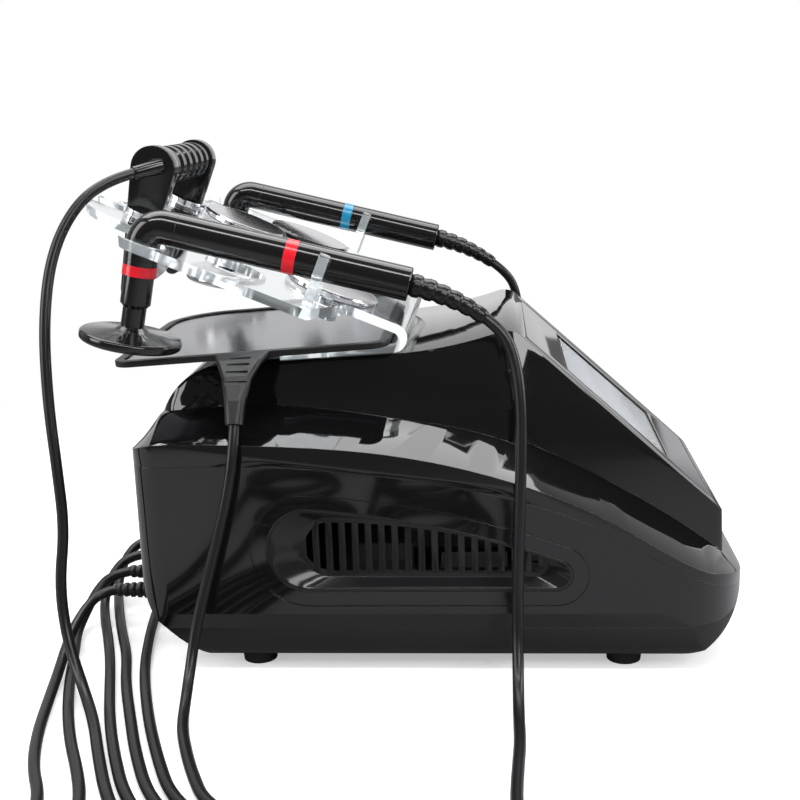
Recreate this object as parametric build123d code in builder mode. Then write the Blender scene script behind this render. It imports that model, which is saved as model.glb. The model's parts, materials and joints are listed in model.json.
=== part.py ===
"""Tecar therapy machine: a desktop console with a sloped screen, a clear bent rack, two treatment
pens with detachable disc electrodes, spare electrodes, a ribbed blade handle and a return plate.

Millimetres. +X is the display end, +Y is the far side, +Z is up. The origin is on the table, under
the middle of the machine.
"""

import os
from math import asin, atan2, cos, degrees, radians, sin, sqrt, tan

from build123d import *

os.makedirs("parts", exist_ok=True)

# Housing envelope
rear_x = -180.0
nose_x = 213.0
body_length = nose_x - rear_x
body_half_width = 144.0
body_height = 214.0
foot_height = 10.0
seam_height = 33.0
chine_height = 44.0
floor_half_width = 128.0
chine_inset = 4.0
wall = 3.2
cut_over = 6.0

# Outline of the housing seen from above
rear_corner_radius = 20.0
front_corner_x = 146.0
nose_corner_x = 205.0
nose_corner_y = 102.0

# Side outlines, as shares of the length from the rear and of the height from the table
rear_foot_shares = [(0.112, 0.047), (0.051, 0.136), (0.013, 0.234), (0.0, 0.318)]
nose_foot_shares = [(0.878, 0.047), (0.93, 0.085), (0.968, 0.135), (1.0, 0.208)]
band_low_shares = [
    (0.0, 0.657), (0.102, 0.662), (0.195, 0.66), (0.375, 0.635), (0.49, 0.603),
    (0.607, 0.556), (0.704, 0.498), (0.782, 0.427), (0.917, 0.283), (1.0, 0.21),
]
band_high_shares = [
    (0.04, 0.727), (0.102, 0.729), (0.195, 0.724), (0.382, 0.7), (0.497, 0.664),
    (0.627, 0.596), (0.704, 0.54), (0.798, 0.447), (0.915, 0.308),
]
shoulder_shares = [
    (0.031, 0.771), (0.141, 0.791), (0.218, 0.793), (0.34, 0.78), (0.495, 0.745),
    (0.612, 0.686), (0.711, 0.598), (0.81, 0.494), (0.95, 0.315),
]
shoulder_rear_share = 0.7
inner_floor_shares = (0.117, 0.8753)
inner_side_shares = [
    (0.06, 0.147), (0.0221, 0.2407), (0.0087, 0.3224), (0.0087, 0.642), (0.102, 0.6467),
    (0.195, 0.6444), (0.374, 0.6192), (0.487, 0.5864), (0.603, 0.5393), (0.6992, 0.4813), (0.7768, 0.4112),
    (0.9122, 0.2664), (0.978, 0.2056), (0.9618, 0.1449), (0.9262, 0.1005),
]
nose_lip_share = 0.226
shoulder_half_width = 100.0
shoulder_drop = 24.0
throat_front_x = 150.0
tray_step_x = -128.0

# Central housing: deck, peak and sloped display face
deck_shares = [
    (0.1196, 0.9093), (0.4377, 0.9383), (0.5191, 0.9607), (0.5903, 0.9953), (0.6107, 1),
    (0.626, 0.9902),
]
deck_back_shares = [(0.028, 0.757), (0.0585, 0.8481)]
deck_front_shares = [(0.9598, 0.4308), (0.9682, 0.2336)]
deck_half_width = 89.0
crease_half_width = 95.5
crease_shares = [
    (0.1247, 0.8131), (0.4377, 0.8626), (0.5191, 0.8738), (0.5929, 0.8841), (0.612, 0.886),
    (0.6285, 0.8804),
]
crease_back_shares = [(0.028, 0.7477), (0.0662, 0.7897)]
crease_front_shares = [(0.9588, 0.3925), (0.9677, 0.2336)]
skirt_drop = 16.0
taper_start_x = 67.0
taper_half_width = 86.0
front_corner_radius = 9.0
inner_cover_shares = [
    (0.9567, 0.0467), (0.0382, 0.0467), (0.0382, 0.7453), (0.0674, 0.8341), (0.1221, 0.8888),
    (0.4389, 0.9187), (0.5216, 0.9411), (0.5929, 0.9738), (0.6107, 0.9785), (0.6214, 0.972),
    (0.9496, 0.4224),
]
cover_wall = 4.0

# Display
panel_margin = 7.0
bezel_thickness = 2.6
bezel_gap = 0.25
window_width = 126.0
window_height = 91.0
active_width = 116.0
active_height = 87.0
glass_thickness = 1.6
glass_depth = 1.0
window_bevel = 1.0
glass_overlap = 4.0
module_thickness = 7.0
module_margin = 3.0

# Side vents
vent_left = (-67.6, 86.6)
vent_left_radius = 27.6
vent_right = (86.5, 69.6)
vent_right_radius = 10.6
vent_bulge = 6.0
grille_left = (-55.0, 86.0)
grille_left_radius = 19.8
grille_right = (73.0, 75.0)
grille_right_radius = 9.2
grille_bulge = 5.0
vent_depth = 8.0
vent_plate = 2.4
vent_lip = 2.0
slot_count = 18
slot_first_x = -68.4
slot_pitch = 8.35
slot_width = 4.2
slot_margin = 3.2
vent_gap = 0.2
vent_flange = 3.0
vent_flange_thickness = 1.8
funnel_step = 0.5
groove_reach = 8.8
groove_width = 1.0
groove_depth = 0.6

# Rear recess and its panel
panel_x = -160.0
recess_half_width = 112.0
recess_low = 16.5
recess_high = 122.0
rear_panel_thickness = 2.5
panel_lap = 4.0
panel_gap = 0.2
panel_corner = 3.0

# Rear sockets and plugs
socket_places = (-75.0, -40.0, -5.0, 30.0)
plug_height = 33.0
socket_radius = 9.0
socket_length = 11.0
socket_thread_radius = 7.0
socket_thread_length = 8.0
socket_bore = 5.2
socket_bore_depth = 9.0
nut_radius = 10.0
nut_thickness = 3.0
plug_pin_radius = 4.8
plug_pin_length = 8.0
plug_radius = 6.6
plug_length = 20.0
relief_length = 24.0
relief_tip_radius = 4.4
plug_rib_count = 5
rib_gap = 1.5

# Mains inlet, switch and fan
inlet_centre = (82.0, 50.0)
inlet_width = 48.0
inlet_height = 28.0
inlet_depth = 22.0
inlet_flange = 2.5
inlet_body_width = 32.0
inlet_body_height = 24.0
inlet_hole_width = 25.0
inlet_hole_height = 16.5
inlet_hole_depth = 17.0
pin_width = 2.0
pin_height = 4.0
pin_length = 14.0
pin_pitch = 7.0
pin_rise = 4.0
switch_centre = (82.0, 92.0)
switch_width = 34.0
switch_height = 25.0
switch_flange = 2.0
switch_body_width = 31.0
switch_body_height = 21.0
switch_depth = 20.0
rocker_half_width = 10.0
rocker_height = 16.0
rocker_tilt = 9.0
rocker_crown = 7.0
rocker_back = 3.0
rocker_pivot_depth = 6.0
rocker_pocket = 13.6
rocker_gap = 0.4
rocker_pin_radius = 1.5
rocker_pin_length = 1.2
fan_centre = (-22.0, 84.0)
fan_size = 60.0
fan_depth = 15.0
fan_bore = 28.0
fan_tip_gap = 1.0
fan_hub_radius = 12.0
fan_hub_length = 10.0
fan_blade_count = 7
fan_blade_thickness = 1.4
fan_blade_pitch = 35.0
fan_spoke = 4.0
fan_spoke_thickness = 2.5
fan_shaft_radius = 1.5
guard_rings = 4
guard_web = 2.0
shaft_gap = 0.05

# Feet
foot_radius = 12.0
foot_base_radius = 11.0
foot_places = [(-108.5, -112.0), (-108.5, 112.0), (131.5, -112.0), (131.5, 112.0)]
foot_recess = 4.0
screw_radius = 2.0
screw_gap = 0.1
screw_head_radius = 4.2
screw_head_height = 2.2
screw_length = 12.0

# Clear rack, one bent sheet
sheet = 6.0
flange_rear_x = -89.5
rack_half_width = 86.0
deck_slope = 22.7
deck_datum_x = -154.5
deck_rise = 57.9
bend_radius = 6.5
wing_half_width = 148.0
wing_start_x = -44.0
wing_full_x = -62.0
wing_rear_x = -174.0
tongue_half_width = 100.0
tongue_rear_x = -213.0
tongue_bay_half_width = 28.0
tongue_bay_depth = 14.0
leg_slot_width = 18.0
leg_slot_end_x = -165.5
corner_radius = 8.0
tongue_corner = 30.0
pen_notch_radius = 13.5
spare_hole_radius = 19.0
spare_places = [(-57.0, -62.0), (-95.0, 104.0), (-136.0, 58.0)]
free_hole_places = [(-112.0, -104.0), (-140.0, -55.0)]
rack_screw_places = [(-62.0, -62.0), (-62.0, 62.0)]
rack_screw_radius = 2.5
rack_head_radius = 4.6
rack_head_height = 2.4
rack_screw_length = 12.0

# Pens
pen_side_y = 131.0
pen_slope = 14.3
pen_radius = 10.5
red_pen_x = -71.5
red_pen_rise = 55.2
blue_pen_x = -66.5
blue_pen_rise = 55.0
band_width = 7.4
band_depth = 1.2
band_proud = 0.15
barrel_front = 73.6
barrel_rear = 70.3
barrel_bore = 8.0
fit_gap = 0.1
edge_break = 0.6
spigot_length = 8.0
elbow_reach = 90.3
elbow_drop = 22.0
elbow_radius = 12.0
stem_tilt = 12.0
boot_radius = 7.4
boot_tip_radius = 4.6
boot_arc_radius = 130.0
boot_turn = 22.0
boot_ribs = 6
boot_groove = 1.1
rib_share = 0.62
groove_share = 0.12

# Detachable electrode heads
head_collar = 3.5
head_band = 6.5
head_band_depth = 1.5
head_radius = 10.4
head_sleeve_end = 27.6
head_sleeve_radius = 9.3
neck_radius = 7.2
neck_start = 30.0
neck_end = 42.0
disc_radius = 31.5
disc_top = 47.0
disc_dish = 2.4
disc_bottom = 53.0
disc_edge = 1.2
hub_radius = 11.0
head_spigot_radius = 5.0
head_spigot_length = 12.0
head_bore = 5.2
head_bore_length = 13.0
face_radius = 29.5
face_thickness = 2.2
spare_rim = 5.0
spare_face = 1.6
spare_stem_radius = 9.0
spare_stem_length = 18.0
spare_cone_drop = 6.0
spare_cone_radius = 15.0
spare_bore_depth = 14.0
seat_gap = 0.3

# Pen clips
clip_x = -52.0
clip_thickness = 6.0
clip_half_width = 17.0
clip_bore_gap = 0.5
clip_prong = 8.0
clip_tab_half_width = 9.0
clip_tab_length = 7.5
clip_tab_gap = 0.15
clip_corner = 4.0

# Ribbed blade handle
grip_x = -170.5
grip_rise = 107.0
grip_half_length = 58.0
grip_radius = 13.0
grip_core_radius = 10.5
grip_ring_count = 6
grip_ring_width = 11.0
grip_ring_break = 2.0
cap_radius = 14.5
leg_tilt = 15.5
leg_foot_radius = 5.6
leg_length = 82.0
leg_thickness = 12.0
collar_radius = 14.5
collar_height = 4.0
collar_seat = 0.1
blade_thickness = 2.6
blade_top = 56.0
blade_foot = 75.0
blade_belly = 9.0
bolt_radius = 2.4
bolt_gap = 0.05
bolt_head_radius = 4.8
bolt_head_height = 3.0
bolt_drop = 72.0
gland_radius = 5.4
gland_tip_radius = 4.4
gland_length = 19.0

# Return plate
plate_slope = 3.4
plate_rear_x = -196.0
plate_front_x = -17.0
plate_near_y = -106.0
plate_far_y = 82.0
plate_rest_rise = 8.4
plate_corner = 12.0
plate_far_corner = 42.0
rim_width = 6.0
rim_thickness = 4.2
steel_thickness = 1.6
steel_inset = 2.5
steel_lift = 1.3
relief_x = -110.0
relief_reach_shares = [0.0, 0.2667, 0.56, 0.8267, 1.0]
relief_drop_shares = [0.0, 0.0694, 0.2917, 0.6389, 1.0]
relief_width_shares = [1.0, 0.8056, 0.5278, 0.3611, 0.3056]
relief_depth_shares = [0.3853, 0.4587, 0.6055, 0.8257, 1.0]
relief_tilts = [0.0, 24.0, 46.0, 60.0, 66.0]
relief_reach = 37.5
relief_drop = 36.0
relief_width = 36.0
relief_depth = 10.9
relief_corner_share = 0.45
relief_slot_count = 4
relief_slot_width = 2.2
relief_slot_start = 0.7
relief_slot_step = 0.5
relief_slot_depth = 0.8
relief_slot_length = 14.0

# Insides
supply_size = (112.0, 62.0, 34.0)
supply_place = (40.0, 62.0)
board_size = (150.0, 96.0, 1.6)
board_place = (20.0, -58.0)
board_lift = 9.0
boss_radius = 4.0
transformer_size = (38.0, 34.0, 30.0)
transformer_place = (-28.0, -58.0)
heat_sink_size = (46.0, 30.0, 24.0)
heat_sink_place = (34.0, -58.0)
capacitor_radius = 8.0
capacitor_height = 26.0
capacitor_pitch = 20.0
capacitor_place = (74.0, -58.0)
supply_corner = 2.0

# Cords
cord_radius = 3.5
floor_gap = 0.1
coil_radius = 42.0
coil_pitch = 7.9
coil_rise = 7.7
coil_lead = 7.0
coil_half_turns = 5
coil_sample = 3.0
run_share = 0.45
floor_z = cord_radius + floor_gap
top_z = floor_z + coil_rise

# Cord routes, each listed away from its handle or from its coil
blade_down_route = [
    (-181, -70.4, 318.5), (-196, -78.5, 315), (-215.3, -90, 300.5), (-229, -104, 271), (-233, -118, 230),
    (-231.5, -128, 182), (-226, -138, 138), (-222.5, -145, 102), (-227.5, -150, 66), (-222, -160, 32),
    (-208, -178, 9), (-192, -210, floor_z), (-177, -250, floor_z), (-159, -294, floor_z),
    (-138, -330, floor_z), (-112, -356, floor_z), (-88, -373, 6), (-73, -399, top_z), (-73, -428, top_z),
]
blade_back_route = [
    (-157, -428, floor_z), (-157, -397, floor_z), (-160.5, -350, floor_z), (-172, -297, floor_z),
    (-184, -266, floor_z), (-199, -233, floor_z), (-213, -195, floor_z), (-225, -155, floor_z),
    (-235, -115, floor_z), (-243, -84, 5), (-243, -62, 11), (-238, -49, 22), (-229, -42, 31), (-215, -40, 33),
]
blue_down_route = [
    (49.6, 131, 229.6), (62, 131.5, 220.3), (69, 135, 203), (70, 142, 180), (67, 149, 150), (65, 154, 119),
    (64.5, 157, 88), (63, 161, 62), (56.5, 168, 40), (43, 176.5, 23), (22, 183.5, 11), (-5, 188, 5),
    (-40, 190, floor_z), (-92, 186, floor_z), (-140, 183.5, floor_z), (-172, 172, floor_z),
    (-193, 147, floor_z), (-202, 112, floor_z), (-204, 70, floor_z), (-202, 20, floor_z),
    (-198.5, -35, floor_z), (-191, -88, floor_z), (-180, -142, floor_z), (-162, -200, floor_z),
    (-144, -248, floor_z), (-124, -294, floor_z), (-95, -322, floor_z), (-58, -338, floor_z),
    (-17, -351, floor_z), (17, -373, 6), (33, -399, top_z), (33, -428, top_z),
]
blue_back_route = [
    (-51, -428, floor_z), (-51, -402, floor_z), (-55, -372, floor_z), (-76, -346, floor_z),
    (-110, -324, floor_z), (-136, -294, floor_z), (-156, -248, floor_z), (-173, -200, floor_z),
    (-187.5, -158, floor_z), (-198, -118, floor_z), (-211, -84, floor_z), (-223, -50, floor_z),
    (-233, -18, 5), (-238, 3, 11), (-236, 17, 22), (-228, 28, 31), (-215, 30, 33),
]
plate_down_route = [
    (-110, -143.5, 168), (-110.5, -149.5, 154), (-114, -154.5, 130), (-121, -158, 103), (-129, -160.5, 75),
    (-137, -165, 46), (-140, -174, 24), (-140, -192, 9), (-137, -216, floor_z), (-128, -244, floor_z),
    (-118, -270, floor_z), (-105, -298, floor_z), (-80, -318, floor_z), (-44, -328, floor_z),
    (-4, -336, floor_z), (28, -353, floor_z), (45, -385, floor_z), (47, -425, floor_z), (40, -460, floor_z),
    (27, -487, 7), (22, -513, top_z), (22, -538, top_z),
]
plate_back_route = [
    (-62, -538, floor_z), (-62, -512, floor_z), (-61.5, -486, floor_z), (-62.5, -446, floor_z),
    (-61.5, -404, floor_z), (-68, -374, floor_z), (-93, -352, floor_z), (-124, -328, floor_z),
    (-149, -294, floor_z), (-167, -252, floor_z), (-183, -208, floor_z), (-195.5, -166, floor_z),
    (-207, -126, floor_z), (-220, -88, floor_z), (-232, -56, 5), (-238, -34, 11), (-236, -18, 22),
    (-228, -7, 31), (-215, -5, 33),
]
red_down_route = [
    (44.6, -131, 229.8), (56, -132.5, 221.3), (62.5, -136, 205), (65.5, -142, 181), (65.4, -148, 152),
    (64.2, -154, 121), (63, -157.5, 88), (62, -160, 58), (61.8, -167, 33), (61.6, -181, 14),
    (61.4, -204, 4.2), (61.6, -232, floor_z), (59.5, -264, floor_z), (58, -298, floor_z),
    (60, -345, floor_z), (58, -395, floor_z), (60.6, -445, floor_z), (59, -492, floor_z),
    (58, -538, floor_z), (48, -574, floor_z), (20, -598, floor_z), (-18, -601.5, floor_z),
    (-60, -601, floor_z), (-98, -593, 8), (-121, -587, top_z), (-136, -587, top_z),
]
red_back_route = [
    (-185, -538, floor_z), (-185, -506, floor_z), (-186, -455, floor_z), (-184.5, -400, floor_z),
    (-187, -345, floor_z), (-194, -297, floor_z), (-210, -264, floor_z), (-221, -226, floor_z),
    (-229, -184, floor_z), (-234, -150, 6), (-237, -124, 12), (-237, -102, 19), (-232, -85, 27),
    (-225, -77, 31.5), (-215, -75, 33),
]
down_routes = {
    "blade": blade_down_route, "red": red_down_route, "blue": blue_down_route, "plate": plate_down_route,
}
back_routes = {
    "blade": blade_back_route, "red": red_back_route, "blue": blue_back_route, "plate": plate_back_route,
}
coil_places = {
    "blade": (-115.0, -435.0), "blue": (-9.0, -435.0), "plate": (-20.0, -545.0), "red": (-143.0, -545.0),
}


def side(shares):
    """Side view points from shares of the housing's length and height."""
    return [(rear_x + s * body_length, h * body_height) for s, h in shares]


# Points of the cover, and what stands over it at a rise from the housing's top
deck_points = side(deck_shares)
deck_rear, deck_front, deck_mid, deck_peak, peak_bulge, panel_top = deck_points
deck_back = side(deck_back_shares)
deck_front_points = side(deck_front_shares)
panel_bottom, front_foot = deck_front_points
crease_points = side(crease_shares)
crease_back = side(crease_back_shares)
crease_front = side(crease_front_shares)
panel_rise = atan2(panel_top[1] - panel_bottom[1], panel_bottom[0] - panel_top[0])
panel_length = sqrt((panel_bottom[0] - panel_top[0]) ** 2 + (panel_top[1] - panel_bottom[1]) ** 2)
deck_datum = (deck_datum_x, body_height + deck_rise)
red_pen_datum = (red_pen_x, body_height + red_pen_rise)
blue_pen_datum = (blue_pen_x, body_height + blue_pen_rise)
grip_centre = (grip_x, body_height + grip_rise)
plate_rest_height = deck_rear[1] + plate_rest_rise


def finish(builder, label):
    """Names a finished sub-part and writes it."""
    builder.part.label = label
    export_step(builder.part, f"parts/{label}.step")


def plan_outline(inset):
    """Closed outline of the housing seen from above, as a flat sketch."""
    half = body_half_width - inset
    with BuildSketch() as outline:
        with BuildLine():
            FilletPolyline(
                (rear_x + inset, 0),
                (rear_x + inset, half),
                (front_corner_x, half),
                radius=rear_corner_radius - inset,
            )
            Spline(
                (front_corner_x, half),
                (nose_corner_x - inset, nose_corner_y - inset),
                (nose_x - inset, 0),
                tangents=((1, 0), (0, -1)),
            )
            mirror(about=Plane.XZ)
        make_face()
    return outline.sketch


def cross_outline(inset):
    """Closed outline of the housing seen from the front, as a flat sketch."""
    low = foot_height + inset
    top = body_height + cut_over
    with BuildSketch() as outline:
        with BuildLine():
            Polyline((0, top), (body_half_width - inset, top), (body_half_width - inset, chine_height))
            Line(
                (body_half_width - inset, chine_height), (body_half_width - chine_inset - inset, seam_height)
            )
            Spline(
                (body_half_width - chine_inset - inset, seam_height),
                (floor_half_width - inset, low),
                tangents=((-0.2, -1), (-1, -0.25)),
            )
            Line((floor_half_width - inset, low), (0, low))
            mirror(about=Plane.YZ)
        make_face()
    return outline.sketch


def side_outline():
    """Closed side outline of everything below the housing's parting line."""
    rear = side(rear_foot_shares)
    nose = side(nose_foot_shares)
    band = side(band_low_shares)
    with BuildSketch() as outline:
        with BuildLine():
            Line(rear[0], nose[0])
            Spline(*nose)
            Line(nose[-1], band[-1])
            Spline(*reversed(band))
            Line(band[0], rear[-1])
            Spline(*rear)
        make_face()
    return outline.sketch


def dropped(points, by):
    """The same points, lower."""
    return [(x, z - by) for x, z in points]


def above_band():
    """Region above the parting line, seen from the side."""
    band = side(band_low_shares)
    top = body_height + cut_over
    with BuildSketch() as outline:
        with BuildLine():
            Spline(*band)
            Polyline(
                band[-1],
                (nose_x + cut_over, band[-1][1]),
                (nose_x + cut_over, top),
                (rear_x - cut_over, top),
                (rear_x - cut_over, band[0][1]),
                band[0],
            )
        make_face()
    return outline.sketch


def vent_outline(left, left_radius, right, right_radius, bulge):
    """Closed outline of a vent: a big round end, a flat foot, a bowed top and a small round end."""
    top_left = (left[0] - left_radius * sin(0.15), left[1] + left_radius * cos(0.15))
    foot_left = (left[0], left[1] - left_radius)
    tilt = atan2(left[1] + left_radius - right[1] - right_radius, right[0] - left[0])
    top_right = (right[0] + right_radius * sin(tilt), right[1] + right_radius * cos(tilt))
    foot_right = (right[0], right[1] - right_radius)
    middle = ((top_left[0] + top_right[0]) / 2, (top_left[1] + top_right[1]) / 2 + bulge)
    with BuildSketch() as outline:
        with BuildLine():
            ThreePointArc(foot_left, (left[0] - left_radius, left[1]), top_left)
            ThreePointArc(top_left, middle, top_right)
            ThreePointArc(top_right, (right[0] + right_radius, right[1]), foot_right)
            Line(foot_right, foot_left)
        make_face()
    return outline.sketch



# The housing as one solid block, outside and inside of its walls
with BuildPart() as envelope:
    with BuildSketch(Plane.XZ):
        add(side_outline())
    extrude(amount=body_half_width + cut_over, both=True)
    with BuildSketch():
        add(plan_outline(0))
    extrude(amount=body_height, mode=Mode.INTERSECT)
    with BuildSketch(Plane.YZ):
        add(cross_outline(0))
    extrude(amount=body_length, both=True, mode=Mode.INTERSECT)

with BuildPart() as hollow:
    with BuildSketch(Plane.XZ):
        with BuildLine():
            rear_end, front_end = (rear_x + share * body_length for share in inner_floor_shares)
            floor_top = foot_height + wall
            Polyline((rear_end, floor_top), *side(inner_side_shares), (front_end, floor_top), close=True)
        make_face()
    extrude(amount=body_half_width + cut_over, both=True)
    with BuildSketch():
        add(plan_outline(wall))
    extrude(amount=body_height, mode=Mode.INTERSECT)
    with BuildSketch(Plane.YZ):
        add(cross_outline(wall))
    extrude(amount=body_length, both=True, mode=Mode.INTERSECT)

# The open way up from the lower housing into the cover
with BuildPart() as throat:
    with BuildSketch(Plane.XY.offset(seam_height)):
        with Locations(((panel_x + throat_front_x) / 2, 0)):
            Rectangle(throat_front_x - panel_x, 2 * (taper_half_width - cover_wall))
    extrude(amount=body_height)

# Walls of the rear recess, with the ledge that carries the rear panel
recess_middle = (recess_low + recess_high) / 2
recess_tall = recess_high - recess_low


def recess_block(start, end, grow):
    """A block as wide and tall as the rear recess, grown on every side, from one X to the next."""
    with BuildPart() as block:
        with BuildSketch(Plane.YZ.offset(start)):
            with Locations((0, recess_middle)):
                Rectangle(2 * (recess_half_width + grow), recess_tall + 2 * grow)
        extrude(amount=end - start)
    return block.part


ledge_x = panel_x + rear_panel_thickness
recess_end = ledge_x + wall
with BuildPart() as recess_walls:
    add(recess_block(rear_x, recess_end, wall))
    add(recess_block(rear_x, ledge_x, 0), mode=Mode.SUBTRACT)
    add(recess_block(ledge_x, recess_end, -panel_lap), mode=Mode.SUBTRACT)

seam_block = Plane.XY.offset(seam_height)
with BuildPart() as recess_tunnel:
    add(recess_walls.part)
    split(bisect_by=seam_block, keep=Keep.TOP)
    add(envelope.part, mode=Mode.INTERSECT)

# Base tray with the feet's seats, the board's bosses and the foot of the rear recess
with BuildPart() as base_tray:
    add(envelope.part)
    split(bisect_by=seam_block, keep=Keep.BOTTOM)
    add(hollow.part, mode=Mode.SUBTRACT)
    add(recess_block(panel_x, tray_step_x, wall))
    add(recess_block(rear_x - cut_over, ledge_x, 0), mode=Mode.SUBTRACT)
    add(recess_block(ledge_x, recess_end, -panel_lap), mode=Mode.SUBTRACT)
    add(recess_block(recess_end, tray_step_x, 0), mode=Mode.SUBTRACT)
    with BuildSketch(seam_block):
        with Locations(((rear_x + tray_step_x) / 2, 0)):
            Rectangle(tray_step_x - rear_x + 2 * cut_over, 2 * body_half_width)
    extrude(amount=body_height, mode=Mode.SUBTRACT)
    with BuildSketch(Plane.XY.offset(foot_height + wall)):
        with Locations(board_place):
            with GridLocations(board_size[0] - 4 * boss_radius, board_size[1] - 4 * boss_radius, 2, 2):
                Circle(boss_radius)
    extrude(amount=board_lift)
    with BuildSketch(Plane.XY.offset(foot_height + wall)):
        with Locations(*foot_places):
            Circle(screw_head_radius)
    extrude(amount=screw_length)
    with BuildSketch(Plane.XY.offset(foot_height)):
        with Locations(*foot_places):
            Circle(screw_radius + screw_gap)
    extrude(amount=screw_length, mode=Mode.SUBTRACT)
finish(base_tray, "base_tray")


def vent_shape(grow):
    """The vent's opening in the side wall, grown or shrunk."""
    return vent_outline(vent_left, vent_left_radius + grow, vent_right, vent_right_radius + grow, vent_bulge)


def grille_shape(grow):
    """The grille's plate at the bottom of the vent, grown or shrunk."""
    return vent_outline(
        grille_left, grille_left_radius + grow, grille_right, grille_right_radius + grow, grille_bulge
    )


# Lower housing with its vents and the rear recess
with BuildPart() as lower_body:
    add(envelope.part)
    split(bisect_by=seam_block, keep=Keep.TOP)
    add(hollow.part, mode=Mode.SUBTRACT)
    add(throat.part, mode=Mode.SUBTRACT)
    add(recess_tunnel.part)
    add(recess_block(rear_x - cut_over, ledge_x, 0), mode=Mode.SUBTRACT)
    with BuildSketch(Plane.XZ):
        add(vent_shape(0))
    extrude(amount=body_half_width + cut_over, both=True, mode=Mode.SUBTRACT)
    for side_sign in (-1, 1):
        with BuildSketch(Plane.XZ.offset(side_sign * (body_half_width - groove_depth))):
            add(vent_shape(groove_reach + groove_width))
            add(vent_shape(groove_reach), mode=Mode.SUBTRACT)
        extrude(amount=side_sign * cut_over, mode=Mode.SUBTRACT)
finish(lower_body, "lower_body")


def shoulder_section(half, line, low, inset):
    """Side outline of the cover's shoulder at one distance from the middle."""
    rear_top = (rear_x, shoulder_rear_share * body_height - inset)
    lip = (nose_x, nose_lip_share * body_height - inset)
    with BuildSketch(Plane.XZ.offset(half)) as section:
        with BuildLine():
            Line((nose_x, low), (rear_x, low))
            Line((rear_x, low), rear_top)
            Line(rear_top, line[0])
            Spline(*line)
            Line(line[-1], lip)
            Line(lip, (nose_x, low))
        make_face()
    return section.sketch.face()


def shoulder(inset):
    """The cover's shoulder as one block from side to side, as loft sections set in by its wall."""
    low = chine_height - shoulder_drop
    outer, inner = body_half_width - inset, shoulder_half_width
    band = dropped(side(band_high_shares), inset)
    ridge = dropped(side(shoulder_shares), inset)
    sections = [(outer, band), (inner, ridge), (-inner, ridge), (-outer, band)]
    return [shoulder_section(half, line, low, inset) for half, line in sections]


def housing_section(half, back, deck, front):
    """Side outline of the central housing at one distance from the middle."""
    low = foot_height
    with BuildSketch(Plane.XZ.offset(half)) as section:
        with BuildLine():
            Line((front[1][0], low), (back[0][0], low))
            Line((back[0][0], low), back[0])
            ThreePointArc(back[0], back[1], deck[0])
            Line(deck[0], deck[1])
            Spline(deck[1], deck[2], deck[3])
            ThreePointArc(deck[3], deck[4], deck[5])
            Line(deck[5], front[0])
            Line(front[0], (front[1][0], low))
        make_face()
    return section.sketch.face()


with BuildPart() as housing:
    for sign in (-1, 1):
        order = [
            (
                shoulder_half_width + cut_over,
                dropped(crease_back, skirt_drop),
                dropped(crease_points, skirt_drop + cut_over),
                dropped(crease_front, skirt_drop),
            ),
            (crease_half_width, crease_back, crease_points, crease_front),
            (deck_half_width, deck_back, deck_points, deck_front_points),
            (0, deck_back, deck_points, deck_front_points),
        ]
        sections = [housing_section(sign * half, back, deck, front) for half, back, deck, front in order]
        loft(sections, ruled=True)
    with BuildSketch(Plane.XY):
        with BuildLine():
            Polyline(
                (rear_x, 0),
                (rear_x, body_half_width),
                (taper_start_x, body_half_width),
                (taper_start_x, shoulder_half_width),
                (front_foot[0], taper_half_width),
                (front_foot[0], 0),
            )
            mirror(about=Plane.XZ)
        make_face()
        fillet(vertices().group_by(Axis.X)[-1], radius=front_corner_radius)
    extrude(amount=body_height + cut_over, mode=Mode.INTERSECT)

with BuildPart() as shoulder_hollow:
    loft(shoulder(cover_wall), ruled=True)
    with BuildSketch(Plane.XY):
        add(plan_outline(cover_wall))
    extrude(amount=body_height, mode=Mode.INTERSECT)

panel_frame = Plane(
    origin=((panel_top[0] + panel_bottom[0]) / 2, 0, (panel_top[1] + panel_bottom[1]) / 2),
    x_dir=(0, 1, 0),
    z_dir=(sin(panel_rise), 0, cos(panel_rise)),
)
bezel_width = 2 * (taper_half_width - panel_margin)
bezel_height = panel_length - 2 * panel_margin
module_width = window_width + 2 * module_margin
module_height = window_height + 2 * module_margin

# Upper cover: sloping shoulder band all round, central housing, deck and display face
with BuildPart() as upper_cover:
    loft(shoulder(0), ruled=True)
    with BuildSketch(Plane.XY):
        add(plan_outline(0))
    extrude(amount=body_height, mode=Mode.INTERSECT)
    add(shoulder_hollow.part, mode=Mode.SUBTRACT)
    add(housing.part)
    with BuildSketch(Plane.XZ):
        add(above_band())
    extrude(amount=body_half_width + cut_over, both=True, mode=Mode.INTERSECT)
    with BuildSketch(Plane.XZ):
        with BuildLine():
            Polyline(*side(inner_cover_shares), close=True)
        make_face()
    extrude(amount=taper_half_width - cover_wall, both=True, mode=Mode.SUBTRACT)
    with BuildSketch(panel_frame):
        RectangleRounded(bezel_width + 2 * bezel_gap, bezel_height + 2 * bezel_gap, panel_margin)
    extrude(amount=-bezel_thickness, mode=Mode.SUBTRACT)
    with BuildSketch(panel_frame):
        Rectangle(module_width + 2 * bezel_gap, module_height + 2 * bezel_gap)
    extrude(amount=-(bezel_thickness + module_thickness), mode=Mode.SUBTRACT)
    with BuildSketch(Plane.XY.offset(deck_rear[1] - rack_screw_length)):
        with Locations(*rack_screw_places):
            Circle(rack_screw_radius + screw_gap)
    extrude(amount=body_height, mode=Mode.SUBTRACT)
finish(upper_cover, "upper_cover")

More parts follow.
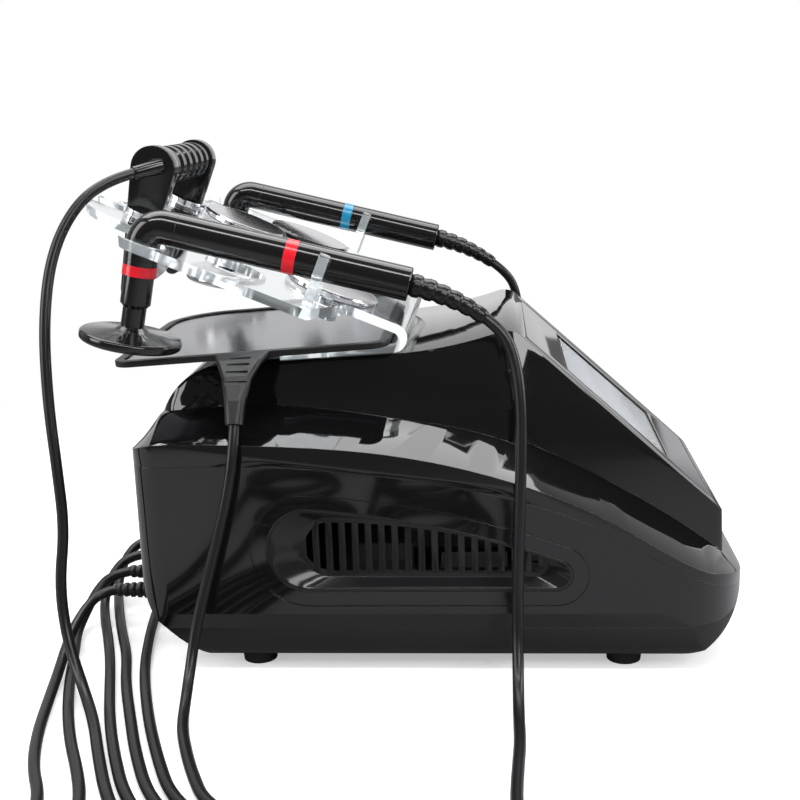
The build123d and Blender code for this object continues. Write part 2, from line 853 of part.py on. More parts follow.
# Display: bezel plate in its pocket, glass behind the window, module behind the glass
with BuildPart() as display_bezel:
    with BuildSketch(panel_frame):
        RectangleRounded(bezel_width, bezel_height, panel_margin - bezel_gap)
    extrude(amount=-bezel_thickness)
    with BuildSketch(panel_frame.offset(-glass_depth)):
        Rectangle(window_width + 2 * glass_overlap, window_height + 2 * glass_overlap)
    extrude(amount=-glass_thickness, mode=Mode.SUBTRACT)
    with BuildSketch(panel_frame.offset(-glass_depth)):
        Rectangle(window_width, window_height)
    with BuildSketch(panel_frame):
        Rectangle(window_width + 2 * window_bevel, window_height + 2 * window_bevel)
    loft(mode=Mode.SUBTRACT)
finish(display_bezel, "display_bezel")

with BuildPart() as touch_glass:
    with BuildSketch(panel_frame.offset(-glass_depth)):
        Rectangle(window_width + 2 * glass_overlap - bezel_gap, window_height + 2 * glass_overlap - bezel_gap)
    extrude(amount=-glass_thickness)
finish(touch_glass, "touch_glass")

with BuildPart() as display_module:
    with BuildSketch(panel_frame.offset(-bezel_thickness)):
        Rectangle(module_width, module_height)
    extrude(amount=-module_thickness)
finish(display_module, "display_module")

# Vent inserts: a funnel behind each side opening, closed by a slotted grille
with BuildPart() as vent_inserts:
    for side_sign in (-1, 1):
        face_y = side_sign * body_half_width
        inner_y = side_sign * (body_half_width - wall)
        floor_y = side_sign * (body_half_width - vent_depth)
        back_y = side_sign * (body_half_width - vent_depth - vent_plate)
        with BuildSketch(Plane.XZ.offset(face_y)):
            add(vent_shape(-vent_gap))
        extrude(amount=-side_sign * (wall + vent_flange_thickness))
        with BuildSketch(Plane.XZ.offset(inner_y)):
            add(vent_shape(vent_flange))
        extrude(amount=-side_sign * vent_flange_thickness)
        with BuildSketch(Plane.XZ.offset(inner_y - side_sign * vent_flange_thickness / 2)):
            add(vent_shape(-vent_gap - funnel_step))
        with BuildSketch(Plane.XZ.offset(back_y)):
            add(grille_shape(vent_lip))
        loft(ruled=True)
        with BuildSketch(Plane.XZ.offset(face_y)):
            add(vent_shape(-vent_gap - vent_lip))
        with BuildSketch(Plane.XZ.offset(floor_y)):
            add(grille_shape(0))
        loft(ruled=True, mode=Mode.SUBTRACT)
        with BuildSketch(Plane.XZ.offset(floor_y)):
            for index in range(slot_count):
                with Locations((slot_first_x + index * slot_pitch, grille_left[1])):
                    Rectangle(slot_width, 2 * grille_left_radius)
            add(grille_shape(-slot_margin), mode=Mode.INTERSECT)
        extrude(amount=-side_sign * (vent_plate + cut_over), mode=Mode.SUBTRACT)
finish(vent_inserts, "vent_inserts")

# Rear panel with openings for the sockets, the inlet, the switch and the fan
rear_face = Plane(origin=(panel_x, 0, 0), x_dir=(0, -1, 0), z_dir=(-1, 0, 0))


def rear_spot(place):
    """Where a place on the rear panel, given as Y and Z, lies in the panel's own sketch."""
    return (-place[0], place[1])


with BuildPart() as rear_panel:
    with BuildSketch(rear_face):
        with Locations((0, recess_middle)):
            RectangleRounded(
                2 * (recess_half_width - panel_gap), recess_tall - 2 * panel_gap, panel_corner
            )
        for place in socket_places:
            with Locations(rear_spot((place, plug_height))):
                Circle(socket_thread_radius + screw_gap, mode=Mode.SUBTRACT)
        with Locations(rear_spot(inlet_centre)):
            Rectangle(inlet_body_width + panel_gap, inlet_body_height + panel_gap, mode=Mode.SUBTRACT)
        with Locations(rear_spot(switch_centre)):
            Rectangle(switch_body_width + panel_gap, switch_body_height + panel_gap, mode=Mode.SUBTRACT)
        with Locations(rear_spot(fan_centre)):
            Circle(fan_bore, mode=Mode.SUBTRACT)
            for ring in range(1, guard_rings + 1):
                Circle(ring * fan_bore / (guard_rings + 1) + guard_web / 2)
                Circle(ring * fan_bore / (guard_rings + 1) - guard_web / 2, mode=Mode.SUBTRACT)
            Rectangle(2 * fan_bore + guard_web, guard_web)
            Rectangle(guard_web, 2 * fan_bore + guard_web)
    extrude(amount=-rear_panel_thickness)
finish(rear_panel, "rear_panel")

with BuildPart() as output_sockets:
    for place in socket_places:
        spot = rear_spot((place, plug_height))
        with BuildSketch(rear_face):
            with Locations(spot):
                Circle(socket_radius)
        extrude(amount=socket_length)
        with BuildSketch(rear_face):
            with Locations(spot):
                Circle(socket_thread_radius)
        extrude(amount=-socket_thread_length)
        with BuildSketch(rear_face.offset(-rear_panel_thickness)):
            with Locations(spot):
                RegularPolygon(nut_radius, side_count=6)
        extrude(amount=-nut_thickness)
        with BuildSketch(rear_face.offset(socket_length)):
            with Locations(spot):
                Circle(socket_bore)
        extrude(amount=-socket_bore_depth, mode=Mode.SUBTRACT)
finish(output_sockets, "output_sockets")

with BuildPart() as inlet_module:
    with BuildSketch(rear_face):
        with Locations(rear_spot(inlet_centre)):
            RectangleRounded(inlet_width, inlet_height, panel_corner)
    extrude(amount=inlet_flange)
    with BuildSketch(rear_face):
        with Locations(rear_spot(inlet_centre)):
            Rectangle(inlet_body_width, inlet_body_height)
    extrude(amount=-inlet_depth)
    with BuildSketch(rear_face.offset(inlet_flange)):
        with Locations(rear_spot(inlet_centre)):
            RectangleRounded(inlet_hole_width, inlet_hole_height, panel_corner)
    extrude(amount=-inlet_hole_depth, mode=Mode.SUBTRACT)
finish(inlet_module, "inlet_module")

with BuildPart() as inlet_pins:
    with BuildSketch(rear_face.offset(inlet_flange - inlet_hole_depth)):
        with Locations(rear_spot(inlet_centre)):
            with Locations((-pin_pitch, -pin_rise / 2), (pin_pitch, -pin_rise / 2), (0, pin_rise / 2)):
                Rectangle(pin_width, pin_height)
    extrude(amount=pin_length)
finish(inlet_pins, "inlet_pins")

# Mains switch: the rocker turns on pins in its frame
pivot_x = panel_x + rocker_pivot_depth - switch_flange
with BuildPart() as switch_frame:
    with BuildSketch(rear_face):
        with Locations(rear_spot(switch_centre)):
            RectangleRounded(switch_width, switch_height, panel_corner)
    extrude(amount=switch_flange)
    with BuildSketch(rear_face):
        with Locations(rear_spot(switch_centre)):
            Rectangle(switch_body_width, switch_body_height)
    extrude(amount=-switch_depth)
    with BuildSketch(Plane.XY.offset(switch_centre[1])):
        with Locations((pivot_x, switch_centre[0])):
            Circle(rocker_pocket)
    extrude(amount=rocker_height / 2 + rocker_gap, both=True, mode=Mode.SUBTRACT)
    with BuildSketch(Plane.XY.offset(switch_centre[1])):
        with Locations((pivot_x, switch_centre[0])):
            Circle(rocker_pin_radius + shaft_gap)
    extrude(amount=rocker_height / 2 + rocker_pin_length, both=True, mode=Mode.SUBTRACT)
finish(switch_frame, "switch_frame")

rocker_end = rocker_crown + rocker_half_width * tan(radians(rocker_tilt))
with BuildPart() as switch_rocker:
    with BuildSketch(Plane.XY.offset(switch_centre[1])):
        with Locations((pivot_x, switch_centre[0])):
            with Locations(Rotation(0, 0, rocker_tilt)):
                Polygon(
                    (-rocker_crown, 0),
                    (-rocker_end, rocker_half_width),
                    (rocker_back, rocker_half_width),
                    (rocker_back, -rocker_half_width),
                    (-rocker_end, -rocker_half_width),
                    align=None,
                )
    extrude(amount=rocker_height / 2, both=True)
    with BuildSketch(Plane.XY.offset(switch_centre[1])):
        with Locations((pivot_x, switch_centre[0])):
            Circle(rocker_pin_radius)
    extrude(amount=rocker_height / 2 + rocker_pin_length, both=True)
finish(switch_rocker, "switch_rocker")

# Cooling fan behind its guard
fan_back = rear_face.offset(-rear_panel_thickness - fan_depth)
with BuildPart() as fan_frame:
    with BuildSketch(rear_face.offset(-rear_panel_thickness)):
        with Locations(rear_spot(fan_centre)):
            RectangleRounded(fan_size, fan_size, panel_corner)
            Circle(fan_bore, mode=Mode.SUBTRACT)
    extrude(amount=-fan_depth)
    with BuildSketch(fan_back):
        with Locations(rear_spot(fan_centre)):
            Circle(fan_hub_radius)
            with PolarLocations(0, 3):
                with Locations((fan_bore / 2 + fan_spoke / 2, 0)):
                    Rectangle(fan_bore + fan_spoke, fan_spoke)
    extrude(amount=fan_spoke_thickness)
    with BuildSketch(fan_back):
        with Locations(rear_spot(fan_centre)):
            Circle(fan_shaft_radius)
    extrude(amount=fan_spoke_thickness + fan_hub_length)
finish(fan_frame, "fan_frame")

rotor_foot = fan_back.offset(fan_spoke_thickness + shaft_gap)
blade_reach = fan_bore - fan_tip_gap - fan_hub_radius
blade_run = fan_hub_length * cos(radians(fan_blade_pitch)) - fan_blade_thickness
with BuildPart() as fan_rotor:
    with BuildSketch(rotor_foot):
        with Locations(rear_spot(fan_centre)):
            Circle(fan_hub_radius)
    extrude(amount=fan_hub_length)
    hub_centre = rotor_foot.offset(fan_hub_length / 2).from_local_coords((-fan_centre[0], fan_centre[1], 0))
    for index in range(fan_blade_count):
        turn = index * 2 * radians(180) / fan_blade_count
        outward = Vector(0, cos(turn), sin(turn))
        across = Vector(1, 0, 0).rotate(Axis((0, 0, 0), outward), fan_blade_pitch)
        blade_root = hub_centre + outward * (fan_hub_radius - edge_break)
        with BuildSketch(Plane(origin=blade_root, x_dir=across, z_dir=outward)):
            Rectangle(blade_run, fan_blade_thickness)
        extrude(amount=blade_reach + edge_break)
    with BuildSketch(rotor_foot):
        with Locations(rear_spot(fan_centre)):
            Circle(fan_shaft_radius + shaft_gap)
    extrude(amount=fan_hub_length, mode=Mode.SUBTRACT)
finish(fan_rotor, "fan_rotor")

# Rubber feet and their screws
with BuildPart() as rubber_feet:
    for place in foot_places:
        with BuildSketch():
            with Locations(place):
                Circle(foot_base_radius)
        with BuildSketch(Plane.XY.offset(foot_height)):
            with Locations(place):
                Circle(foot_radius)
        loft()
    with BuildSketch():
        with Locations(*foot_places):
            Circle(screw_head_radius + screw_gap)
    extrude(amount=foot_recess + screw_head_height, mode=Mode.SUBTRACT)
    with BuildSketch():
        with Locations(*foot_places):
            Circle(screw_radius + screw_gap)
    extrude(amount=foot_height, mode=Mode.SUBTRACT)
finish(rubber_feet, "rubber_feet")

with BuildPart() as foot_screws:
    with BuildSketch(Plane.XY.offset(foot_recess)):
        with Locations(*foot_places):
            Circle(screw_head_radius)
    extrude(amount=screw_head_height)
    with BuildSketch(Plane.XY.offset(foot_recess)):
        with Locations(*foot_places):
            Circle(screw_radius)
    extrude(amount=screw_head_height + screw_length)
finish(foot_screws, "foot_screws")

# Clear rack: one sheet from a flange on the deck, round a tight bend, up and back over it
flange_tilt = atan2(deck_front[1] - deck_rear[1], deck_front[0] - deck_rear[0])
deck_tilt = radians(-deck_slope)
deck_up = Vector(sin(radians(deck_slope)), 0, cos(radians(deck_slope)))
flange_up = (-sin(flange_tilt), cos(flange_tilt))


def meet(first, first_angle, second, second_angle):
    """Where two lines in the side view cross, each given by a point and an angle."""
    along = (second[0] - first[0]) * sin(second_angle) - (second[1] - first[1]) * cos(second_angle)
    reach = along / (cos(first_angle) * sin(second_angle) - sin(first_angle) * cos(second_angle))
    return (first[0] + reach * cos(first_angle), first[1] + reach * sin(first_angle))


def upright(x, point, angle):
    """The point of a line in the side view at one X."""
    return (x, point[1] + (x - point[0]) * tan(angle))


flange_top_point = (deck_rear[0] + sheet * flange_up[0], deck_rear[1] + sheet * flange_up[1])
deck_top_point = (deck_datum[0] + sheet * deck_up.X, deck_datum[1] + sheet * deck_up.Z)
deck_plane = Plane(
    origin=(deck_top_point[0], 0, deck_top_point[1]),
    x_dir=(cos(deck_tilt), 0, sin(deck_tilt)),
    z_dir=tuple(deck_up),
)


def on_deck(place):
    """Where a place of the rack's deck, given as X and Y, lies in the deck's own sketch."""
    return ((place[0] - deck_top_point[0]) / cos(deck_tilt), place[1])


def axis_frame(point, along):
    """A sketch plane whose Y runs along a direction in the side view, for profiles turned about it."""
    return Plane(origin=point, x_dir=(0, 1, 0), z_dir=(along[1], 0, -along[0]))


def route_plane(route, x_dir):
    """The plane square to a route's first run, at its start."""
    start, second = Vector(*route[0]), Vector(*route[1])
    return Plane(origin=start, x_dir=x_dir, z_dir=second - start)


def turned(frame, profile):
    """A solid turned about the Y of its frame from (radius, distance) points."""
    with BuildPart() as piece:
        with BuildSketch(frame):
            with BuildLine():
                Polyline(*profile, close=True)
            make_face()
        revolve(axis=Axis(frame.origin, frame.y_dir))
    return piece.part


def ribbed(planes, radii):
    """A ruled loft through one circle on each plane."""
    circles = []
    for plane, radius in zip(planes, radii):
        with BuildSketch(plane) as ring:
            Circle(radius)
        circles.append(ring.sketch.face())
    with BuildPart() as piece:
        loft(circles, ruled=True)
    return piece.part


def rib_steps(count, groove_radius, rib_radius, tip_groove, tip_rib):
    """Shares along a ribbed sleeve and the radius at each, four circles to a rib."""
    steps = []
    for index in range(count):
        for part, on_rib in ((0, False), (1 - rib_share, True), (1 - rib_share / 4, True), (1, False)):
            share = (index + part * (1 - groove_share)) / count
            body = groove_radius + (tip_groove - groove_radius) * share
            rib = rib_radius + (tip_rib - rib_radius) * share
            steps.append((share, rib if on_rib else body))
    return steps


pen_tilt = radians(pen_slope)
pen_along = (-cos(pen_tilt), sin(pen_tilt))
stem_along = (-sin(radians(stem_tilt)), -cos(radians(stem_tilt)))
pens = {"red": (-1, red_pen_datum), "blue": (1, blue_pen_datum)}


def pen_point(colour, distance):
    """A point on a pen's axis, measured from its colour band towards the rear."""
    side_sign, datum = pens[colour]
    x, z = datum[0] + distance * pen_along[0], datum[1] + distance * pen_along[1]
    return Vector(x, side_sign * pen_side_y, z)


def stem_frame(colour):
    """The frame at the end of a pen's elbow, with Y down the stem."""
    corner = pen_point(colour, elbow_reach)
    return axis_frame(corner + Vector(stem_along[0], 0, stem_along[1]) * elbow_drop, stem_along)


def stem_spot(colour):
    """Where a pen's stem passes through the deck, in the deck's own frame."""
    corner = deck_plane.to_local_coords(pen_point(colour, elbow_reach))
    end = deck_plane.to_local_coords(stem_frame(colour).origin)
    return corner + (end - corner) * ((corner.Z + sheet / 2) / (corner.Z - end.Z))


def clip_spot(colour):
    """Where a pen's axis stands over the deck at its clip, in the deck's own frame."""
    reach = (clip_x - pens[colour][1][0]) / pen_along[0]
    return deck_plane.to_local_coords(pen_point(colour, reach))


flange_at_screws = upright(rack_screw_places[0][0], flange_top_point, flange_tilt)
rack_seat_height = flange_at_screws[1] - rack_head_height - seat_gap
with BuildPart() as rack_sheet:
    with BuildSketch(Plane.XZ):
        with BuildLine():
            FilletPolyline(
                upright(flange_rear_x, deck_rear, flange_tilt),
                meet(deck_rear, flange_tilt, deck_top_point, deck_tilt),
                upright(tongue_rear_x - cut_over, deck_top_point, deck_tilt),
                radius=bend_radius + sheet / 2,
            )
            FilletPolyline(
                upright(flange_rear_x, flange_top_point, flange_tilt),
                meet(flange_top_point, flange_tilt, deck_datum, deck_tilt),
                upright(tongue_rear_x - cut_over, deck_datum, deck_tilt),
                radius=bend_radius - sheet / 2,
            )
            Line(
                upright(flange_rear_x, deck_rear, flange_tilt),
                upright(flange_rear_x, flange_top_point, flange_tilt),
            )
            Line(
                upright(tongue_rear_x - cut_over, deck_top_point, deck_tilt),
                upright(tongue_rear_x - cut_over, deck_datum, deck_tilt),
            )
        make_face()
    extrude(amount=wing_half_width, both=True)
    with BuildSketch():
        with BuildLine():
            Polyline(
                (deck_peak[0], 0),
                (deck_peak[0], rack_half_width),
                (wing_start_x, rack_half_width),
                (wing_full_x, wing_half_width),
                (wing_rear_x, wing_half_width),
                (wing_rear_x, tongue_half_width),
                (tongue_rear_x, tongue_half_width),
                (tongue_rear_x, 0),
            )
            mirror(about=Plane.XZ)
        make_face()
        fillet(vertices().group_by(Axis.X)[0], radius=tongue_corner)
        fillet(vertices().filter_by_position(Axis.X, wing_rear_x, wing_start_x), radius=corner_radius)
        with Locations((tongue_rear_x, 0)):
            SlotCenterToCenter(
                2 * tongue_bay_half_width, 2 * tongue_bay_depth, mode=Mode.SUBTRACT, rotation=90
            )
    extrude(amount=2 * body_height, mode=Mode.INTERSECT)
    for side_sign in (-1, 1):
        with BuildSketch(Plane.XY):
            wing_middle_y = side_sign * (rack_half_width + wing_half_width) / 2
            with Locations(((flange_rear_x + wing_start_x) / 2, wing_middle_y)):
                Rectangle(wing_start_x - flange_rear_x + 4 * cut_over, wing_half_width - rack_half_width)
        extrude(amount=flange_top_point[1] + 2 * sheet, mode=Mode.SUBTRACT)
    with BuildSketch(deck_plane):
        with Locations(*[on_deck(place) for place in spare_places + free_hole_places]):
            Circle(spare_hole_radius)
        deck_end = on_deck((tongue_rear_x - cut_over, 0))[0]
        for side_sign in (-1, 1):
            slot_end = on_deck((leg_slot_end_x, side_sign * grip_half_length))
            with Locations((slot_end[0] - leg_slot_width / 2, slot_end[1])):
                Circle(leg_slot_width / 2)
            with Locations(((slot_end[0] - leg_slot_width / 2 + deck_end) / 2, slot_end[1])):
                Rectangle(slot_end[0] - leg_slot_width / 2 - deck_end, leg_slot_width)
        for colour in pens:
            notch = stem_spot(colour)
            with Locations((notch.X, notch.Y)):
                Circle(pen_notch_radius)
            with Locations(((notch.X + deck_end) / 2, notch.Y)):
                Rectangle(notch.X - deck_end, 2 * pen_notch_radius)
            with Locations((clip_spot(colour).X, clip_spot(colour).Y)):
                Rectangle(clip_thickness + 2 * clip_tab_gap, 2 * (clip_tab_half_width + clip_tab_gap))
    extrude(amount=-sheet - cut_over, mode=Mode.SUBTRACT)
    with BuildSketch(Plane.XY.offset(rack_seat_height)):
        with Locations(*rack_screw_places):
            Circle(rack_head_radius + screw_gap)
    extrude(amount=2 * sheet, mode=Mode.SUBTRACT)
    with BuildSketch(Plane.XY.offset(deck_rear[1])):
        with Locations(*rack_screw_places):
            Circle(rack_screw_radius + screw_gap)
    extrude(amount=2 * sheet, mode=Mode.SUBTRACT)
finish(rack_sheet, "rack_sheet")

with BuildPart() as rack_screws:
    with BuildSketch(Plane.XY.offset(rack_seat_height)):
        with Locations(*rack_screw_places):
            Circle(rack_head_radius)
    extrude(amount=rack_head_height)
    with BuildSketch(Plane.XY.offset(rack_seat_height + rack_head_height)):
        with Locations(*rack_screw_places):
            RegularPolygon(rack_screw_radius, side_count=6)
    extrude(amount=-rack_head_height / 2, mode=Mode.SUBTRACT)
    with BuildSketch(Plane.XY.offset(rack_seat_height)):
        with Locations(*rack_screw_places):
            Circle(rack_screw_radius)
    extrude(amount=-rack_screw_length)
finish(rack_screws, "rack_screws")


# Pen clips: clear plates that stand on the deck and hold each pen in an open notch
clip_pieces = []
for colour in pens:
    spot = clip_spot(colour)
    foot = deck_plane.from_local_coords((spot.X, spot.Y, 0))
    held = deck_plane.from_local_coords(spot)
    clip_frame = Plane(origin=foot, x_dir=(0, 1, 0), z_dir=deck_plane.x_dir)
    with BuildPart() as pen_clip:
        with BuildSketch(clip_frame.offset(-clip_thickness / 2)):
            with Locations((0, (spot.Z + clip_prong) / 2)):
                RectangleRounded(2 * clip_half_width, spot.Z + clip_prong, clip_corner)
            with Locations((0, clip_corner / 2)):
                Rectangle(2 * clip_half_width, clip_corner)
            with Locations((0, -clip_tab_length / 2)):
                Rectangle(2 * clip_tab_half_width, clip_tab_length)
        extrude(amount=clip_thickness)
        with BuildSketch(Plane(origin=held, x_dir=(0, 1, 0), z_dir=(-pen_along[0], 0, -pen_along[1]))):
            Circle(pen_radius + clip_bore_gap)
            with Locations((0, spot.Z / 2)):
                Rectangle(2 * (pen_radius + clip_bore_gap), spot.Z)
        extrude(amount=2 * clip_thickness, both=True, mode=Mode.SUBTRACT)
    clip_pieces.append(pen_clip.part)
with BuildPart() as pen_clips:
    add(clip_pieces)
finish(pen_clips, "pen_clips")

# Pens: barrel, colour band, elbow with its stem, ribbed boot
for colour, (side_sign, datum) in pens.items():
    pen_frame = axis_frame(pen_point(colour, 0), pen_along)
    groove_radius = pen_radius - band_depth
    with BuildPart() as pen_barrel:
        add(turned(pen_frame, [
            (barrel_bore, -barrel_front),
            (pen_radius - edge_break, -barrel_front),
            (pen_radius, -barrel_front + edge_break),
            (pen_radius, -band_width / 2),
            (groove_radius, -band_width / 2),
            (groove_radius, band_width / 2),
            (pen_radius, band_width / 2),
            (pen_radius, barrel_rear),
            (barrel_bore, barrel_rear),
        ]))
    finish(pen_barrel, f"{colour}_pen_barrel")

    with BuildPart() as pen_band:
        add(turned(pen_frame, [
            (groove_radius, -band_width / 2),
            (pen_radius + band_proud, -band_width / 2),
            (pen_radius + band_proud, band_width / 2),
            (groove_radius, band_width / 2),
        ]))
    finish(pen_band, f"{colour}_pen_band")

    stem = stem_frame(colour)
    with BuildPart() as pen_elbow:
        with BuildLine() as bend:
            FilletPolyline(
                pen_point(colour, barrel_rear), pen_point(colour, elbow_reach), stem.origin, radius=elbow_radius
            )
        elbow_start = Plane(
            origin=pen_point(colour, barrel_rear), x_dir=(0, 1, 0), z_dir=(pen_along[0], 0, pen_along[1])
        )
        with BuildSketch(elbow_start):
            Circle(pen_radius)
        sweep(path=bend.wires()[0])
        add(turned(pen_frame, [
            (0, barrel_rear - spigot_length),
            (barrel_bore - fit_gap, barrel_rear - spigot_length),
            (barrel_bore - fit_gap, barrel_rear + fit_gap),
            (0, barrel_rear + fit_gap),
        ]))
        spigot_hole = [(0, -head_bore_length), (head_bore, -head_bore_length), (head_bore, 0), (0, 0)]
        add(turned(stem, spigot_hole), mode=Mode.SUBTRACT)
    finish(pen_elbow, f"{colour}_pen_elbow")

    boot_length = boot_arc_radius * radians(boot_turn)
    boot_steps = rib_steps(
        boot_ribs, boot_radius - boot_groove, boot_radius, boot_tip_radius - boot_groove / 2, boot_tip_radius
    )
    boot_planes = []
    for share, _ in boot_steps:
        heading = pen_tilt + share * radians(boot_turn)
        start = pen_point(colour, -barrel_front)
        shift = Vector(sin(heading) - sin(pen_tilt), 0, cos(heading) - cos(pen_tilt)) * boot_arc_radius
        boot_planes.append(
            Plane(origin=start + shift, x_dir=(0, 1, 0), z_dir=(cos(heading), 0, -sin(heading)))
        )
    boot_planes[-1] = route_plane(down_routes[colour], (0, 1, 0))
    with BuildPart() as pen_boot:
        add(ribbed(boot_planes, [radius for _, radius in boot_steps]))
        add(turned(pen_frame, [
            (0, -barrel_front - fit_gap),
            (boot_radius - boot_groove, -barrel_front - fit_gap),
            (boot_radius - boot_groove, -barrel_front + spigot_length),
            (0, -barrel_front + spigot_length),
        ]))
    finish(pen_boot, f"{colour}_pen_boot")

    # Detachable electrode: sleeve with its spigot, colour band, dished disc and contact face
    band_floor = head_radius - head_band_depth
    with BuildPart() as head_sleeve:
        add(turned(stem, [
            (0, -head_spigot_length),
            (head_spigot_radius, -head_spigot_length),
            (head_spigot_radius, 0),
            (head_radius, 0),
            (head_radius, head_collar),
            (band_floor, head_collar),
            (band_floor, head_collar + head_band),
            (head_sleeve_radius, head_collar + head_band),
            (head_sleeve_radius, head_sleeve_end),
            (neck_radius, neck_start),
            (neck_radius, neck_end),
            (0, neck_end),
        ]))
    finish(head_sleeve, f"{colour}_head_sleeve")

    with BuildPart() as head_ring:
        add(turned(stem, [
            (band_floor, head_collar),
            (head_radius + band_proud, head_collar),
            (head_radius + band_proud, head_collar + head_band),
            (band_floor, head_collar + head_band),
        ]))
    finish(head_ring, f"{colour}_head_band")

    with BuildPart() as head_disc:
        add(turned(stem, [
            (0, neck_end),
            (neck_radius, neck_end),
            (hub_radius, disc_top - disc_dish),
            (disc_radius - disc_edge, disc_top),
            (disc_radius, disc_top + disc_edge),
            (disc_radius, disc_bottom - disc_edge),
            (disc_radius - disc_edge, disc_bottom),
            (face_radius, disc_bottom),
            (face_radius, disc_bottom - face_thickness),
            (0, disc_bottom - face_thickness),
        ]))
    finish(head_disc, f"{colour}_head_disc")

    with BuildPart() as head_face:
        add(turned(stem, [
            (0, disc_bottom - face_thickness),
            (face_radius, disc_bottom - face_thickness),
            (face_radius, disc_bottom),
            (0, disc_bottom),
        ]))
    finish(head_face, f"{colour}_head_face")

# Spare electrodes, face up in the rack's holes
for number, place in enumerate(spare_places, start=1):
    seat = deck_plane.from_local_coords((*on_deck(place), seat_gap))
    spare_frame = axis_frame(seat, (deck_up.X, deck_up.Z))
    with BuildPart() as spare_body:
        add(turned(spare_frame, [
            (0, -spare_bore_depth / 4),
            (head_bore, -spare_bore_depth / 4),
            (head_bore, -spare_stem_length),
            (spare_stem_radius, -spare_stem_length),
            (spare_stem_radius, -spare_cone_drop),
            (spare_cone_radius, 0),
            (disc_radius - disc_edge, 0),
            (disc_radius, disc_edge),
            (disc_radius, spare_rim - disc_edge),
            (disc_radius - disc_edge, spare_rim),
            (face_radius, spare_rim),
            (face_radius, spare_rim - spare_face),
            (0, spare_rim - spare_face),
        ]))
    finish(spare_body, f"spare_{number}_body")

    with BuildPart() as spare_disc:
        add(turned(spare_frame, [
            (0, spare_rim - spare_face),
            (face_radius, spare_rim - spare_face),
            (face_radius, spare_rim),
            (0, spare_rim),
        ]))
    finish(spare_disc, f"spare_{number}_face")

# Blade handle: ribbed grip between two teardrop legs, with the blade across their feet
grip_middle = Vector(grip_centre[0], 0, grip_centre[1])
leg_up = Vector(sin(radians(leg_tilt)), 0, cos(radians(leg_tilt)))
leg_foot = (grip_centre[0] - leg_length * leg_up.X, grip_centre[1] - leg_length * leg_up.Z)
grip_frame = Plane(origin=grip_middle, x_dir=(1, 0, 0), z_dir=(0, 0, 1))
grip_end = grip_half_length - leg_thickness / 2
ring_pitch = 2 * grip_end / grip_ring_count
ring_edge = (ring_pitch - grip_ring_width) / 2
grip_profile = [(0, -grip_end)]
for index in range(grip_ring_count):
    start = -grip_end + index * ring_pitch
    grip_profile += [
        (grip_core_radius, start),
        (grip_core_radius, start + ring_edge),
        (grip_radius, start + ring_edge + grip_ring_break),
        (grip_radius, start + ring_pitch - ring_edge - grip_ring_break),
        (grip_core_radius, start + ring_pitch - ring_edge),
    ]
grip_profile += [(grip_core_radius, grip_end), (0, grip_end)]
with BuildPart() as blade_grip:
    add(turned(grip_frame, grip_profile))
finish(blade_grip, "blade_grip")


def leg_outline():
    """A leg's outline in the side view: round top, straight flanks, smaller round foot."""
    lean = asin((cap_radius - leg_foot_radius) / leg_length)
    down, across = Vector(-leg_up.X, -leg_up.Z), Vector(leg_up.Z, -leg_up.X)
    flanks = []
    for sign in (-1, 1):
        facing = down * sin(lean) + across * (sign * cos(lean))
        ends = [Vector(*grip_centre) + facing * cap_radius, Vector(*leg_foot) + facing * leg_foot_radius]
        flanks += ends if sign < 0 else reversed(ends)
    with BuildSketch() as outline:
        with BuildLine():
            Polyline(*[(point.X, point.Y) for point in flanks], close=True)
        make_face()
        with Locations(grip_centre):
            Circle(cap_radius)
        with Locations(leg_foot):
            Circle(leg_foot_radius)
    return outline.sketch


bolt_spot = (grip_centre[0] - bolt_drop * leg_up.X, grip_centre[1] - bolt_drop * leg_up.Z)
with BuildPart() as blade_legs:
    for side_sign in (-1, 1):
        with BuildSketch(Plane.XZ.offset(side_sign * grip_half_length - leg_thickness / 2)):
            add(leg_outline())
        extrude(amount=leg_thickness)
    with BuildSketch(Plane.XZ):
        with Locations(bolt_spot):
            Circle(bolt_radius + bolt_gap)
    extrude(amount=grip_half_length + leg_thickness, both=True, mode=Mode.SUBTRACT)
    gland_foot = route_plane(blade_down_route, (0, 0, 1))
    with BuildSketch(gland_foot.offset(-gland_length)) as gland_base:
        Circle(gland_radius)
    with BuildSketch(gland_foot) as gland_tip:
        Circle(gland_tip_radius)
    loft([gland_base.sketch.face(), gland_tip.sketch.face()])
finish(blade_legs, "blade_legs")

# Steel collars that rest on the deck where the legs pass it, and the bolts that hold the blade
grip_over_deck = deck_plane.to_local_coords(grip_middle)
leg_spot_x = grip_over_deck.X + grip_over_deck.Z * tan(radians(deck_slope - leg_tilt))
with BuildPart() as blade_fittings:
    for side_sign in (-1, 1):
        with BuildSketch(deck_plane.offset(collar_seat)):
            with Locations((leg_spot_x, side_sign * grip_half_length)):
                Circle(collar_radius)
        extrude(amount=collar_height)
    add(blade_legs.part, mode=Mode.SUBTRACT)
    for side_sign in (-1, 1):
        with BuildSketch(Plane.XZ.offset(side_sign * (grip_half_length + leg_thickness / 2))):
            with Locations(bolt_spot):
                RegularPolygon(bolt_head_radius, side_count=6)
        extrude(amount=side_sign * bolt_head_height)
        with BuildSketch(Plane.XZ.offset(side_sign * (grip_half_length + leg_thickness / 2))):
            with Locations(bolt_spot):
                Circle(bolt_radius)
        extrude(amount=-side_sign * leg_thickness)
finish(blade_fittings, "blade_fittings")

